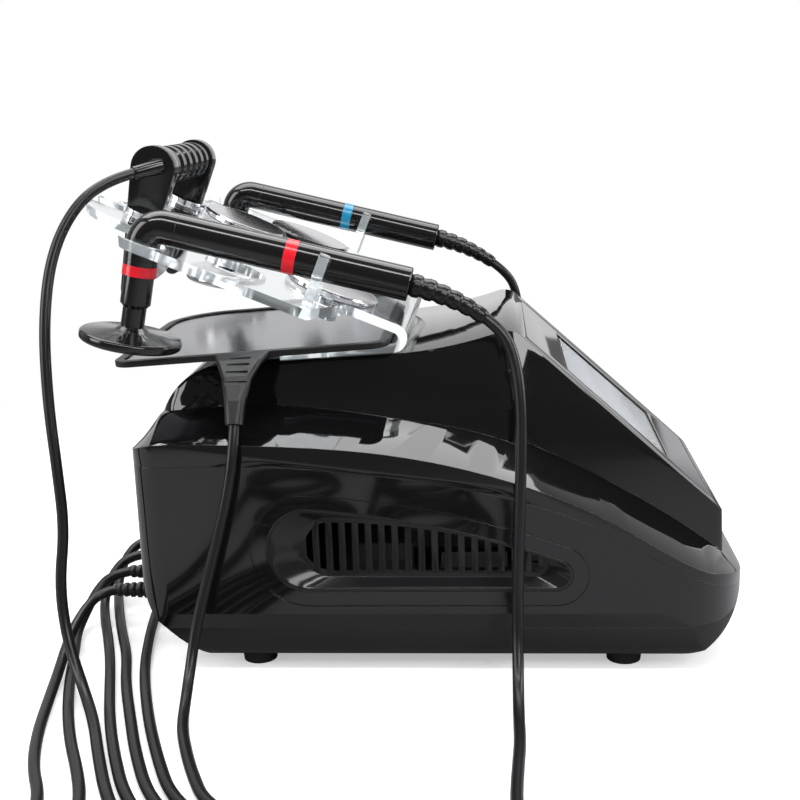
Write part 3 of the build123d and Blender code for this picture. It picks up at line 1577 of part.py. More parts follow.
blade_end = grip_half_length - leg_thickness / 2
blade_frame = Plane(origin=grip_middle, x_dir=(0, 1, 0), z_dir=(leg_up.Z, 0, -leg_up.X))
with BuildPart() as blade:
    with BuildSketch(blade_frame.offset(-blade_thickness / 2)):
        with BuildLine():
            Line((-blade_end, -blade_top), (blade_end, -blade_top))
            Line((blade_end, -blade_top), (blade_end, -blade_foot))
            ThreePointArc(
                (blade_end, -blade_foot), (0, -blade_foot - blade_belly), (-blade_end, -blade_foot)
            )
            Line((-blade_end, -blade_foot), (-blade_end, -blade_top))
        make_face()
    extrude(amount=blade_thickness)
finish(blade, "blade_plate")

# Return plate: a thin steel sheet in a rubber rim, with a strain relief moulded on its near side
plate_tilt = radians(plate_slope)
plate_middle_x = (plate_rear_x + plate_front_x) / 2
plate_frame = Plane(
    origin=(
        plate_middle_x,
        (plate_near_y + plate_far_y) / 2,
        plate_rest_height + (plate_middle_x - flange_rear_x) * tan(plate_tilt),
    ),
    x_dir=(cos(plate_tilt), 0, sin(plate_tilt)),
    z_dir=(-sin(plate_tilt), 0, cos(plate_tilt)),
)


def plate_outline(inset):
    """The return plate's outline in its own frame, set in from its edge."""
    with BuildSketch() as outline:
        Rectangle(
            (plate_front_x - plate_rear_x) / cos(plate_tilt) - 2 * inset,
            plate_far_y - plate_near_y - 2 * inset,
        )
        rear = vertices().group_by(Axis.X)[0].sort_by(Axis.Y)
        front = vertices().group_by(Axis.X)[-1]
        fillet([rear[0]] + list(front), radius=plate_corner - inset)
        far_rear = vertices().group_by(Axis.Y)[-1].sort_by(Axis.X)[0]
        fillet(far_rear, radius=plate_far_corner - inset)
    return outline.sketch


with BuildPart() as return_steel:
    with BuildSketch(plate_frame.offset(steel_lift)):
        add(plate_outline(steel_inset))
    extrude(amount=steel_thickness)
finish(return_steel, "return_plate_steel")

with BuildPart() as return_rim:
    with BuildSketch(plate_frame):
        add(plate_outline(0))
        add(plate_outline(rim_width), mode=Mode.SUBTRACT)
    extrude(amount=rim_thickness)
    add(return_steel.part, mode=Mode.SUBTRACT)
finish(return_rim, "return_plate_rim")

relief_top = plate_frame.from_local_coords(
    ((relief_x - plate_middle_x) / cos(plate_tilt), plate_near_y - plate_frame.origin.Y, rim_thickness / 2)
)
relief_planes = []
for reach_share, drop_share, tilt in zip(relief_reach_shares, relief_drop_shares, relief_tilts):
    relief_planes.append(Plane(
        origin=relief_top - Vector(0, reach_share * relief_reach, drop_share * relief_drop),
        x_dir=plate_frame.x_dir,
        z_dir=(0, -cos(radians(tilt)), -sin(radians(tilt))),
    ))
relief_planes[-1] = route_plane(plate_down_route, plate_frame.x_dir)
with BuildPart() as return_relief:
    for plane, width_share, depth_share in zip(relief_planes, relief_width_shares, relief_depth_shares):
        depth = depth_share * relief_depth
        with BuildSketch(plane):
            RectangleRounded(width_share * relief_width, depth, relief_corner_share * depth)
    loft(ruled=True)
    for index in range(relief_slot_count):
        share = relief_slot_start + index * relief_slot_step
        step = int(share)
        first, second = relief_planes[step], relief_planes[step + 1]
        run = (second.origin - first.origin).normalized()
        depth = relief_depth * (
            relief_depth_shares[step] + (relief_depth_shares[step + 1] - relief_depth_shares[step]) * (share - step)
        )
        groove = Plane(
            origin=first.origin + (second.origin - first.origin) * (share - step), x_dir=(1, 0, 0), z_dir=run
        )
        with BuildSketch(groove):
            with Locations((0, depth / 2 + relief_slot_depth)):
                Rectangle(relief_slot_length, 4 * relief_slot_depth)
        extrude(amount=relief_slot_width, mode=Mode.SUBTRACT)
finish(return_relief, "return_plate_relief")

# Plugs in the rear sockets, each with a ribbed relief that ends square to its cord
plug_face = panel_x - socket_length
plug_steps = rib_steps(
    plug_rib_count, relief_tip_radius, plug_radius - edge_break, relief_tip_radius - edge_break, relief_tip_radius
)
plug_owners = {"red": 0, "blade": 1, "plate": 2, "blue": 3}
with BuildPart() as cord_plugs:
    for owner, place in plug_owners.items():
        plug_frame = Plane(
            origin=(plug_face, socket_places[place], plug_height), x_dir=(0, 1, 0), z_dir=(0, 0, 1)
        )
        add(turned(plug_frame, [
            (0, -plug_pin_length),
            (plug_pin_radius, -plug_pin_length),
            (plug_pin_radius, 0),
            (plug_radius - edge_break, 0),
            (plug_radius, edge_break),
            (plug_radius, plug_length - edge_break),
            (plug_radius - edge_break, plug_length),
            (0, plug_length),
        ]))
        relief_foot = Plane(
            origin=(plug_face - plug_length, socket_places[place], plug_height), x_dir=(0, 1, 0), z_dir=(-1, 0, 0)
        )
        planes = [relief_foot.offset(share * relief_length) for share, _ in plug_steps]
        planes[-1] = route_plane(list(reversed(back_routes[owner])), (0, 1, 0))
        add(ribbed(planes, [radius for _, radius in plug_steps]))
finish(cord_plugs, "cord_plugs")

# Insides: power supply and generator board
board_foot = foot_height + wall + board_lift
with BuildPart() as electronics:
    with BuildSketch(Plane.XY.offset(foot_height + wall)):
        with Locations(supply_place):
            RectangleRounded(supply_size[0], supply_size[1], supply_corner)
    extrude(amount=supply_size[2])
    with BuildSketch(Plane.XY.offset(board_foot)):
        with Locations(board_place):
            Rectangle(board_size[0], board_size[1])
    extrude(amount=board_size[2])
    for size, place in ((transformer_size, transformer_place), (heat_sink_size, heat_sink_place)):
        with BuildSketch(Plane.XY.offset(board_foot + board_size[2])):
            with Locations(place):
                Rectangle(size[0], size[1])
        extrude(amount=size[2])
    with BuildSketch(Plane.XY.offset(board_foot + board_size[2])):
        with Locations(capacitor_place):
            with GridLocations(0, capacitor_pitch, 1, 3):
                Circle(capacitor_radius)
    extrude(amount=capacitor_height)
finish(electronics, "electronics")


# Cords: a free run from the handle to the coil, the coil, and a run back to the plug
def route_radii(name, route):
    """The fillet radius at each inner point of a route, as large as its two runs allow."""
    points = [Vector(*point) for point in route]
    radii = []
    for before, corner, after in zip(points, points[1:], points[2:]):
        arriving, leaving = corner - before, after - corner
        half_turn = radians(arriving.get_angle(leaving)) / 2
        radii.append(run_share * min(arriving.length, leaving.length) / tan(half_turn))
    print(name, "radii", [round(radius) for radius in radii])
    return radii


def tube(path, start):
    """A round tube along a smooth path."""
    with BuildPart() as piece:
        with BuildSketch(start):
            Circle(cord_radius)
        sweep(path=path)
    return piece.part


def least_gap(path):
    """The smallest gap between two windings of a coil, measured on points along its middle line."""
    count = round(path.length / coil_sample)
    points = [path.position_at(index / count) for index in range(count + 1)]
    apart = round(4 * coil_pitch / coil_sample)
    return min(
        (first - second).length
        for index, first in enumerate(points)
        for second in points[index + apart:]
    ) - 2 * cord_radius


for owner, middle in coil_places.items():
    with BuildPart() as cord:
        for route in (down_routes[owner], list(reversed(back_routes[owner]))):
            with BuildLine() as line:
                FilletPolyline(*route, radius=route_radii(owner, route))
            run = tube(line.wires()[0], route_plane(route, (0, 0, 1)))
            section = radians(180) * cord_radius**2
            swept = section * line.wires()[0].length
            print(owner, "run volume", round(run.volume), "section times length", round(swept))
            add(run)
    finish(cord, f"{owner}_cord")

    # Half turns spiral in on the lower layer, climb once and spiral out again on the upper one
    half_turns = coil_half_turns - 1 if owner == "red" else coil_half_turns
    x, y, z, sign = middle[0] - coil_radius, middle[1], floor_z, 1
    with BuildLine() as winding:
        Line((x, y + coil_lead, z), (x, y, z))
        for index in range(half_turns):
            inward = min(index, coil_half_turns - 1 - index)
            climb = coil_rise if index == coil_half_turns // 2 else 0
            across = 2 * coil_radius - inward * coil_pitch
            bow = sqrt(across**2 + climb**2) / 2
            ThreePointArc(
                (x, y, z), (x + sign * across / 2, y - sign * bow, z + climb / 2), (x + sign * across, y, z + climb)
            )
            x, z, sign = x + sign * across, z + climb, -sign
        if owner == "red":
            JernArc((x, y, z), (0, -1, 0), coil_radius, 90)
            Line((x + coil_radius, y - coil_radius, z), (x + coil_radius + coil_lead, y - coil_radius, z))
        else:
            Line((x, y, z), (x, y + coil_lead, z))
    loops = winding.wires()[0]
    with BuildPart() as cord_coil:
        coil_start = Plane(
            origin=(middle[0] - coil_radius, y + coil_lead, floor_z), x_dir=(0, 0, 1), z_dir=(0, -1, 0)
        )
        add(tube(loops, coil_start))
    print(owner, "coil gap", round(least_gap(loops), 2), "length", round(loops.length))
    finish(cord_coil, f"{owner}_cord_coil")
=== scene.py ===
"""Looks for the tecar therapy machine: finishes, cords, rounded pieces, studio and camera.

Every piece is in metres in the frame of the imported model: +X is the display end, +Y the far side.
"""

from __future__ import annotations

import json
import logging
from dataclasses import dataclass, field
from enum import Enum
from math import cos, pi, radians, sin

import bpy
from mathutils import Matrix, Vector

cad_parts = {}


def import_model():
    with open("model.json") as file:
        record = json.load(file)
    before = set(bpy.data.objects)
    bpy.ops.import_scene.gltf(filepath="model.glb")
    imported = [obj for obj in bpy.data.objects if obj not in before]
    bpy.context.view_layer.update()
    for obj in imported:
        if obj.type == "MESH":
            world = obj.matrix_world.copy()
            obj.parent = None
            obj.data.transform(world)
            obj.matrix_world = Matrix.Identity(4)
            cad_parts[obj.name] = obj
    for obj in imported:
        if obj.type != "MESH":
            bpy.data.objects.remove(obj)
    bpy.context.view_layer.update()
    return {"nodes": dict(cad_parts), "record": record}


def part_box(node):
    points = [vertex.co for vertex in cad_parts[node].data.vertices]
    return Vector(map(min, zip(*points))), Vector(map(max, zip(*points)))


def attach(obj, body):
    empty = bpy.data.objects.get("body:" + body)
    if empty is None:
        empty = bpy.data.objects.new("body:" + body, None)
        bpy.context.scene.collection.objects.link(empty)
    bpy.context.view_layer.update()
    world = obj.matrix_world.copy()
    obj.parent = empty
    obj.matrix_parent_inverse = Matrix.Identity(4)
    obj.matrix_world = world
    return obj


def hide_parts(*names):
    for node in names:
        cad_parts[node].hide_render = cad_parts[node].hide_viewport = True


log = logging.getLogger("tecar")

Point = tuple[float, float, float]
Colour = tuple[float, float, float]

CORD_RADIUS = 0.0035
BEVEL_SAMPLES = 6
WHITE = (1.0, 1.0, 1.0, 1.0)

# Route points of the cords, each listed away from its handle or away from its coil
BLADE_DOWN = (
    (-0.181, -0.0704, 0.3185), (-0.196, -0.0785, 0.315), (-0.2153, -0.09, 0.3005), (-0.229, -0.104, 0.271),
    (-0.233, -0.118, 0.23), (-0.2315, -0.128, 0.182), (-0.226, -0.138, 0.138), (-0.2225, -0.145, 0.102),
    (-0.2275, -0.15, 0.066), (-0.222, -0.16, 0.032), (-0.208, -0.178, 0.009), (-0.192, -0.21, 0.0036),
    (-0.177, -0.25, 0.0036), (-0.159, -0.294, 0.0036), (-0.138, -0.33, 0.0036), (-0.112, -0.356, 0.0036),
    (-0.088, -0.373, 0.006), (-0.073, -0.399, 0.0113), (-0.073, -0.428, 0.0113),
)
BLADE_BACK = (
    (-0.157, -0.428, 0.0036), (-0.157, -0.397, 0.0036), (-0.1605, -0.35, 0.0036), (-0.172, -0.297, 0.0036),
    (-0.184, -0.266, 0.0036), (-0.199, -0.233, 0.0036), (-0.213, -0.195, 0.0036), (-0.225, -0.155, 0.0036),
    (-0.235, -0.115, 0.0036), (-0.243, -0.084, 0.005), (-0.243, -0.062, 0.011), (-0.238, -0.049, 0.022),
    (-0.229, -0.042, 0.031), (-0.215, -0.04, 0.033),
)
RED_DOWN = (
    (0.0446, -0.131, 0.2298), (0.056, -0.1325, 0.2213), (0.0625, -0.136, 0.205), (0.0655, -0.142, 0.181),
    (0.0654, -0.148, 0.152), (0.0642, -0.154, 0.121), (0.063, -0.1575, 0.088), (0.062, -0.16, 0.058),
    (0.0618, -0.167, 0.033), (0.0616, -0.181, 0.014), (0.0614, -0.204, 0.0042), (0.0616, -0.232, 0.0036),
    (0.0595, -0.264, 0.0036), (0.058, -0.298, 0.0036), (0.06, -0.345, 0.0036), (0.058, -0.395, 0.0036),
    (0.0606, -0.445, 0.0036), (0.059, -0.492, 0.0036), (0.058, -0.538, 0.0036), (0.048, -0.574, 0.0036),
    (0.02, -0.598, 0.0036), (-0.018, -0.6015, 0.0036), (-0.06, -0.601, 0.0036), (-0.098, -0.593, 0.008),
    (-0.121, -0.587, 0.0113), (-0.136, -0.587, 0.0113),
)
RED_BACK = (
    (-0.185, -0.538, 0.0036), (-0.185, -0.506, 0.0036), (-0.186, -0.455, 0.0036), (-0.1845, -0.4, 0.0036),
    (-0.187, -0.345, 0.0036), (-0.194, -0.297, 0.0036), (-0.21, -0.264, 0.0036), (-0.221, -0.226, 0.0036),
    (-0.229, -0.184, 0.0036), (-0.234, -0.15, 0.006), (-0.237, -0.124, 0.012), (-0.237, -0.102, 0.019),
    (-0.232, -0.085, 0.027), (-0.225, -0.077, 0.0315), (-0.215, -0.075, 0.033),
)
BLUE_DOWN = (
    (0.0496, 0.131, 0.2296), (0.062, 0.1315, 0.2203), (0.069, 0.135, 0.203), (0.07, 0.142, 0.18),
    (0.067, 0.149, 0.15), (0.065, 0.154, 0.119), (0.0645, 0.157, 0.088), (0.063, 0.161, 0.062),
    (0.0565, 0.168, 0.04), (0.043, 0.1765, 0.023), (0.022, 0.1835, 0.011), (-0.005, 0.188, 0.005),
    (-0.04, 0.19, 0.0036), (-0.092, 0.186, 0.0036), (-0.14, 0.1835, 0.0036), (-0.172, 0.172, 0.0036),
    (-0.193, 0.147, 0.0036), (-0.202, 0.112, 0.0036), (-0.204, 0.07, 0.0036), (-0.202, 0.02, 0.0036),
    (-0.1985, -0.035, 0.0036), (-0.191, -0.088, 0.0036), (-0.18, -0.142, 0.0036), (-0.162, -0.2, 0.0036),
    (-0.144, -0.248, 0.0036), (-0.124, -0.294, 0.0036), (-0.095, -0.322, 0.0036), (-0.058, -0.338, 0.0036),
    (-0.017, -0.351, 0.0036), (0.017, -0.373, 0.006), (0.033, -0.399, 0.0113), (0.033, -0.428, 0.0113),
)
BLUE_BACK = (
    (-0.051, -0.428, 0.0036), (-0.051, -0.402, 0.0036), (-0.055, -0.372, 0.0036), (-0.076, -0.346, 0.0036),
    (-0.11, -0.324, 0.0036), (-0.136, -0.294, 0.0036), (-0.156, -0.248, 0.0036), (-0.173, -0.2, 0.0036),
    (-0.1875, -0.158, 0.0036), (-0.198, -0.118, 0.0036), (-0.211, -0.084, 0.0036), (-0.223, -0.05, 0.0036),
    (-0.233, -0.018, 0.005), (-0.238, 0.003, 0.011), (-0.236, 0.017, 0.022), (-0.228, 0.028, 0.031),
    (-0.215, 0.03, 0.033),
)
PLATE_DOWN = (
    (-0.11, -0.1435, 0.168), (-0.1105, -0.1495, 0.154), (-0.114, -0.1545, 0.13), (-0.121, -0.158, 0.103),
    (-0.129, -0.1605, 0.075), (-0.137, -0.165, 0.046), (-0.14, -0.174, 0.024), (-0.14, -0.192, 0.009),
    (-0.137, -0.216, 0.0036), (-0.128, -0.244, 0.0036), (-0.118, -0.27, 0.0036), (-0.105, -0.298, 0.0036),
    (-0.08, -0.318, 0.0036), (-0.044, -0.328, 0.0036), (-0.004, -0.336, 0.0036), (0.028, -0.353, 0.0036),
    (0.045, -0.385, 0.0036), (0.047, -0.425, 0.0036), (0.04, -0.46, 0.0036), (0.027, -0.487, 0.007),
    (0.022, -0.513, 0.0113), (0.022, -0.538, 0.0113),
)
PLATE_BACK = (
    (-0.062, -0.538, 0.0036), (-0.062, -0.512, 0.0036), (-0.0615, -0.486, 0.0036),
    (-0.0625, -0.446, 0.0036), (-0.0615, -0.404, 0.0036), (-0.068, -0.374, 0.0036),
    (-0.093, -0.352, 0.0036), (-0.124, -0.328, 0.0036), (-0.149, -0.294, 0.0036), (-0.167, -0.252, 0.0036),
    (-0.183, -0.208, 0.0036), (-0.1955, -0.166, 0.0036), (-0.207, -0.126, 0.0036), (-0.22, -0.088, 0.0036),
    (-0.232, -0.056, 0.005), (-0.238, -0.034, 0.011), (-0.236, -0.018, 0.022), (-0.228, -0.007, 0.031),
    (-0.215, -0.005, 0.033),
)


class Ray(Enum):
    """Kinds of ray that the studio's surfaces tell apart."""

    CAMERA = "Is Camera Ray"
    GLOSSY = "Is Glossy Ray"
    THROUGH = "Is Transmission Ray"


class Winding(Enum):
    """How a coil ends: on the same side as it starts, or a quarter turn on."""

    HALF = 5
    QUARTER = 4


class Link:
    """A node socket that can be used in sums."""

    def __init__(self, surface: "Surface", socket: bpy.types.NodeSocket) -> None:
        """Keeps the socket with the surface that it belongs to."""
        self.surface = surface
        self.socket = socket

    def _math(self, operation: str, *values: "Link | float") -> "Link":
        """One Math node on the given values."""
        return self.surface.node("ShaderNodeMath", {"operation": operation}, dict(enumerate(values)))

    def __add__(self, other: "Link | float") -> "Link":
        """Sum."""
        return self._math("ADD", self, other)

    __radd__ = __add__

    def __sub__(self, other: "Link | float") -> "Link":
        """Difference."""
        return self._math("SUBTRACT", self, other)

    def __rsub__(self, other: "Link | float") -> "Link":
        """Difference the other way round."""
        return self._math("SUBTRACT", other, self)

    def __mul__(self, other: "Link | float") -> "Link":
        """Product."""
        return self._math("MULTIPLY", self, other)

    __rmul__ = __mul__

    def __pow__(self, other: "Link | float") -> "Link":
        """Power."""
        return self._math("POWER", self, other)

    def __gt__(self, other: "Link | float") -> "Link":
        """1 where this is greater."""
        return self._math("GREATER_THAN", self, other)

    def __lt__(self, other: "Link | float") -> "Link":
        """1 where this is less."""
        return self._math("LESS_THAN", self, other)

    def __abs__(self) -> "Link":
        """Size without sign."""
        return self._math("ABSOLUTE", self)

    def wave(self) -> "Link":
        """Sine."""
        return self._math("SINE", self)

    def part(self, axis: int) -> "Link":
        """One axis of a vector."""
        split = self.surface.raw("ShaderNodeSeparateXYZ", {}, {0: self})
        return Link(self.surface, split.outputs[axis])

    def dot(self, direction: Point) -> "Link":
        """How far a vector reaches along a direction."""
        across = self.surface.vector("DOT_PRODUCT", self, direction)
        return Link(self.surface, across.outputs["Value"])

    def away(self, centre: Point) -> "Link":
        """The vector from a point to this one."""
        apart = self.surface.vector("SUBTRACT", self, centre)
        return Link(self.surface, apart.outputs["Vector"])

    def length(self) -> "Link":
        """A vector's length."""
        measured = self.surface.vector("LENGTH", self)
        return Link(self.surface, measured.outputs["Value"])


class Surface:
    """A material or world under construction."""

    def __init__(self, owner: bpy.types.Material | bpy.types.World) -> None:
        """Empties the owner's node tree.

        Args:
            owner: the material or world to build.
        """
        owner.use_nodes = True
        self.tree = owner.node_tree
        self.tree.nodes.clear()

    def raw(self, kind: str, settings: dict, values: dict) -> bpy.types.Node:
        """Adds a node.

        Args:
            kind: the node's type.
            settings: its own settings, set first.
            values: numbers, vectors or links for its sockets, by name or place.

        Returns:
            The node.
        """
        made = self.tree.nodes.new(kind)
        for name, value in settings.items():
            setattr(made, name, value)
        for name, value in values.items():
            self.feed(made.inputs[name], value)
        return made

    def feed(self, socket: bpy.types.NodeSocket, value: "Link | float | tuple") -> None:
        """Sets a socket's value, or links another socket to it.

        Args:
            socket: the socket.
            value: its number or vector, or the link that it takes.
        """
        if isinstance(value, Link):
            self.tree.links.new(value.socket, socket)
        else:
            socket.default_value = value

    def node(
        self, kind: str, settings: dict | None = None, values: dict | None = None, out: str | int = 0
    ) -> Link:
        """Adds a node and returns one of its outputs as a link."""
        return Link(self, self.raw(kind, settings or {}, values or {}).outputs[out])

    def vector(self, operation: str, *values: "Link | Point") -> bpy.types.Node:
        """Adds a Vector Math node."""
        return self.raw("ShaderNodeVectorMath", {"operation": operation}, dict(enumerate(values)))

    def ray(self, kind: Ray) -> Link:
        """1 for rays of one kind."""
        return self.node("ShaderNodeLightPath", out=kind.value)

    def glow(self, strength: float) -> Link:
        """White emission of a strength."""
        return self.node("ShaderNodeEmission", None, {"Color": WHITE, "Strength": strength})

    def place(self) -> Link:
        """Object coordinates."""
        return self.node("ShaderNodeTexCoord", out="Object")

    def facing(self) -> Link:
        """The surface's own direction, in the object's frame."""
        return self.node("ShaderNodeTexCoord", out="Normal")

    def noise(self, scale: float, detail: float = 3.0, at: Link | None = None) -> Link:
        """Even noise from 0 to 1."""
        values = {"Vector": at or self.place(), "Scale": scale, "Detail": detail}
        return self.node("ShaderNodeTexNoise", None, values)

    def between(self, low: Colour, high: "Colour | Link", share: Link) -> Link:
        """Mixes two colours.

        Args:
            low: the colour where the share is 0.
            high: the colour, or a link to it, where the share is 1.
            share: the link that mixes them.

        Returns:
            The mixed colour.
        """
        made = self.raw("ShaderNodeMix", {"data_type": "RGBA"}, {})
        factor, first, second = (socket for socket in made.inputs if socket.enabled)
        self.feed(factor, share)
        self.feed(first, (*low, 1.0))
        self.feed(second, high if isinstance(high, Link) else (*high, 1.0))
        return Link(self, next(out for out in made.outputs if out.type == "RGBA"))

    def bump(self, height: Link, strength: float, distance: float, softened: Link | None = None) -> Link:
        """Adds a Bump node.

        Args:
            height: the link that it reads.
            strength: how strongly it turns the surface's direction.
            distance: the height's full depth in metres.
            softened: the direction that it starts from, where edges are rounded.

        Returns:
            The turned direction.
        """
        values = {"Height": height, "Strength": strength, "Distance": distance}
        if softened:
            values["Normal"] = softened
        return self.node("ShaderNodeBump", None, values)

    def softened(self, radius: float) -> Link:
        """The surface's direction with its edges rounded by a radius."""
        return self.node("ShaderNodeBevel", {"samples": BEVEL_SAMPLES}, {"Radius": radius})

    def close(self, values: dict) -> None:
        """Ends in a Principled shader with these values."""
        shader = self.node("ShaderNodeBsdfPrincipled", None, values)
        self.raw("ShaderNodeOutputMaterial", {}, {"Surface": shader})


@dataclass(frozen=True)
class Finish:
    """A plain moulded finish: colour, gloss, fine texture and slight unevenness."""

    name: str
    colour: Colour
    roughness: float
    spread: float = 0.04
    grain: float = 900.0
    grain_strength: float = 0.03
    cloud: float = 22.0
    coat: float = 0.0
    metal: float = 0.0
    edge: float = 0.0006
    grain_depth: float = 0.0002
    coat_roughness: float = 0.03
    lift_share: float = 1.25
    lift: float = 0.002

    def values(self, surface: Surface) -> dict:
        """Gives the values of the Principled sockets.

        Args:
            surface: the material under construction.

        Returns:
            The values by socket name.
        """
        cloud = surface.noise(self.cloud, 4.0)
        fine = surface.noise(self.grain, 2.0)
        lifted = tuple(min(1.0, part * self.lift_share + self.lift) for part in self.colour)
        return {
            "Base Color": surface.between(self.colour, lifted, cloud),
            "Roughness": cloud * self.spread + (self.roughness - self.spread / 2),
            "Metallic": self.metal,
            "Coat Weight": self.coat,
            "Coat Roughness": self.coat_roughness,
            "Normal": surface.bump(fine, self.grain_strength, self.grain_depth, surface.softened(self.edge)),
        }

    def material(self) -> bpy.types.Material:
        """Builds the material, once per name.

        Returns:
            The material.
        """
        found = bpy.data.materials.get(self.name)
        if found:
            return found
        made = bpy.data.materials.new(self.name)
        surface = Surface(made)
        surface.close(self.values(surface))
        return made


@dataclass(frozen=True)
class TurnedMetal(Finish):
    """Polished metal with the faint rings that a lathe leaves round an axis."""

    centre: Point = (0.0, 0.0, 0.0)
    axis: Point = (0.0, 0.0, 1.0)
    rings: float = 5200.0
    ring_spread: float = 0.10
    ring_strength: float = 0.05
    ring_depth: float = 0.0001
    streaks: float = 60.0
    smoothest: float = -0.02

    def values(self, surface: Surface) -> dict:
        """Adds rings round the axis.

        Args:
            surface: the material under construction.

        Returns:
            The values by socket name.
        """
        values = super().values(surface)
        arm = surface.place().away(self.centre)
        along = arm.dot(self.axis)
        radius = (arm.length() ** 2.0 - along ** 2.0 + 1e-9) ** 0.5
        ring = (radius * self.rings).wave() * 0.5 + 0.5
        streak = surface.noise(self.streaks, 2.0)
        values["Roughness"] = ring * streak * self.ring_spread + (self.roughness + self.smoothest)
        values["Normal"] = surface.bump(
            ring, self.ring_strength, self.ring_depth, surface.softened(self.edge)
        )
        return values


@dataclass(frozen=True)
class BrushedMetal(Finish):
    """Metal with long brush marks along one direction."""

    stretch: Point = (20.0, 900.0, 900.0)
    mark_spread: float = 0.18
    mark_strength: float = 0.12

    def values(self, surface: Surface) -> dict:
        """Adds brush marks.

        Args:
            surface: the material under construction.

        Returns:
            The values by socket name.
        """
        values = super().values(surface)
        scaled = surface.node("ShaderNodeMapping", None, {"Vector": surface.place(), "Scale": self.stretch})
        mark = surface.noise(1.0, 4.0, scaled)
        values["Roughness"] = mark * self.mark_spread + (self.roughness - self.mark_spread / 2)
        values["Normal"] = surface.bump(
            mark, self.mark_strength, self.grain_depth, surface.softened(self.edge)
        )
        return values


@dataclass(frozen=True)
class Rubber(Finish):
    """Soft rubber with a fine moulded grain."""

    moulded: float = 1600.0
    moulded_strength: float = 0.16
    moulded_depth: float = 0.0003

    def values(self, surface: Surface) -> dict:
        """Puts the moulded grain in place of the plain one.

        Args:
            surface: the material under construction.

        Returns:
            The values by socket name.
        """
        values = super().values(surface)
        grain = surface.noise(self.moulded)
        values["Normal"] = surface.bump(
            grain, self.moulded_strength, self.moulded_depth, surface.softened(self.edge)
        )
        return values


@dataclass(frozen=True)
class Acrylic(Finish):
    """Clear acrylic whose cut edges carry a painted glow, emission that stands in for the light the edges
    catch, with faint surface scuffs.
    """

    clearest: Colour = (0.97, 0.99, 1.0)
    painted_edge_glow: Colour = (0.86, 0.93, 0.97)
    up: Point = (0.3859, 0.0, 0.9225)
    foot_up: Point = (-0.0496, 0.0, 0.9988)
    # glow is the strength of the painted glow on the cut edges
    glow: float = 0.14
    index: float = 1.49
    flat_share: float = 0.55
    bend_share: float = 0.6
    bend_x: float = -0.032
    cut_roughness: float = 0.12
    scuffs: float = 140.0
    scuff_strength: float = 0.02
    scuff_depth: float = 0.0001

    def values(self, surface: Surface) -> dict:
        """Keeps the sheet clear and paints a glow on its cut edges, emission standing in for the light that
        they catch.

        Args:
            surface: the material under construction.

        Returns:
            The values by socket name.
        """
        normal = surface.facing()
        on_deck = abs(normal.dot(self.up)) > self.flat_share
        on_foot = abs(normal.dot(self.foot_up)) > self.flat_share
        bend = surface.place().part(0) > self.bend_x
        flat = on_deck + on_foot + bend * (abs(normal.part(1)) < self.bend_share) > 0.5
        edge = 1.0 - flat
        scuff = surface.noise(self.scuffs, 5.0)
        return {
            "Base Color": surface.between(self.colour, self.clearest, scuff),
            "Roughness": scuff * self.roughness + edge * self.cut_roughness,
            "IOR": self.index,
            "Transmission Weight": 1.0,
            # Painted glow: emission on the cut edges stands in for light that the edges catch
            "Emission Color": surface.between((0.0, 0.0, 0.0), self.painted_edge_glow, edge),
            "Emission Strength": self.glow,
            "Normal": surface.bump(scuff, self.scuff_strength, self.scuff_depth),
        }


@dataclass(frozen=True)
class ScreenGlass(Finish):
    """Cover glass of the screen, with faint smears."""

    index: float = 1.5
    smears: float = 35.0
    smear_strength: float = 0.01
    smear_depth: float = 0.0001

    def values(self, surface: Surface) -> dict:
        """Makes clear glass whose roughness follows the smears.

        Args:
            surface: the material under construction.

        Returns:
            The values by socket name.
        """
        smear = surface.noise(self.smears, 5.0)
        return {
            "Base Color": (*self.colour, 1.0),
            "Roughness": smear * self.spread + self.roughness,
            "IOR": self.index,
            "Transmission Weight": 1.0,
            "Normal": surface.bump(smear, self.smear_strength, self.smear_depth),
        }


@dataclass(frozen=True)
class ScreenPicture(Finish):
    """The lit panel behind the glass: a pale blank page inside a dark edge, with a painted reflection that
    brightens the page towards its foot.
    """

    centre: Point = (0.1316, 0.0, 0.15205)
    down: Point = (0.7386, 0.0, -0.6741)
    half: tuple[float, float] = (0.058, 0.0435)
    # page_top and page_foot are the ends of the painted reflection across the page
    page_top: Colour = (0.40, 0.42, 0.45)
    page_foot: Colour = (0.92, 0.93, 0.95)
    painted_reflection_fade: float = 3.4
    light: float = 0.55

    def values(self, surface: Surface) -> dict:
        """Makes the page pale, brightening towards its foot in a painted reflection, and what lies outside
        its edge dark.

        Args:
            surface: the material under construction.

        Returns:
            The values by socket name.
        """
        arm = surface.place().away(self.centre)
        across, along = arm.part(1), arm.dot(self.down)
        lit = (abs(across) < self.half[0]) * (abs(along) < self.half[1])
        # Painted reflection: the page runs from darker at its top to pale at its foot
        page_and_painted_reflection = surface.between(self.page_top, self.page_foot, along * self.painted_reflection_fade + 0.5)
        shown = surface.between(self.colour, page_and_painted_reflection, lit)
        return {
            "Base Color": shown, "Roughness": self.roughness,
            "Emission Color": shown, "Emission Strength": self.light,
        }


@dataclass(frozen=True)
class Boards(Finish):
    """Green board and plain metal cans, seen only through the vents."""

    cans: Colour = (0.18, 0.18, 0.19)
    board_top: float = 0.0245

    def values(self, surface: Surface) -> dict:
        """Colours the board green and what stands on it grey.

        Args:
            surface: the material under construction.

        Returns:
            The values by socket name.
        """
        values = super().values(surface)
        high = surface.place().part(2) > self.board_top
        values["Base Color"] = surface.between(self.colour, self.cans, high)
        return values


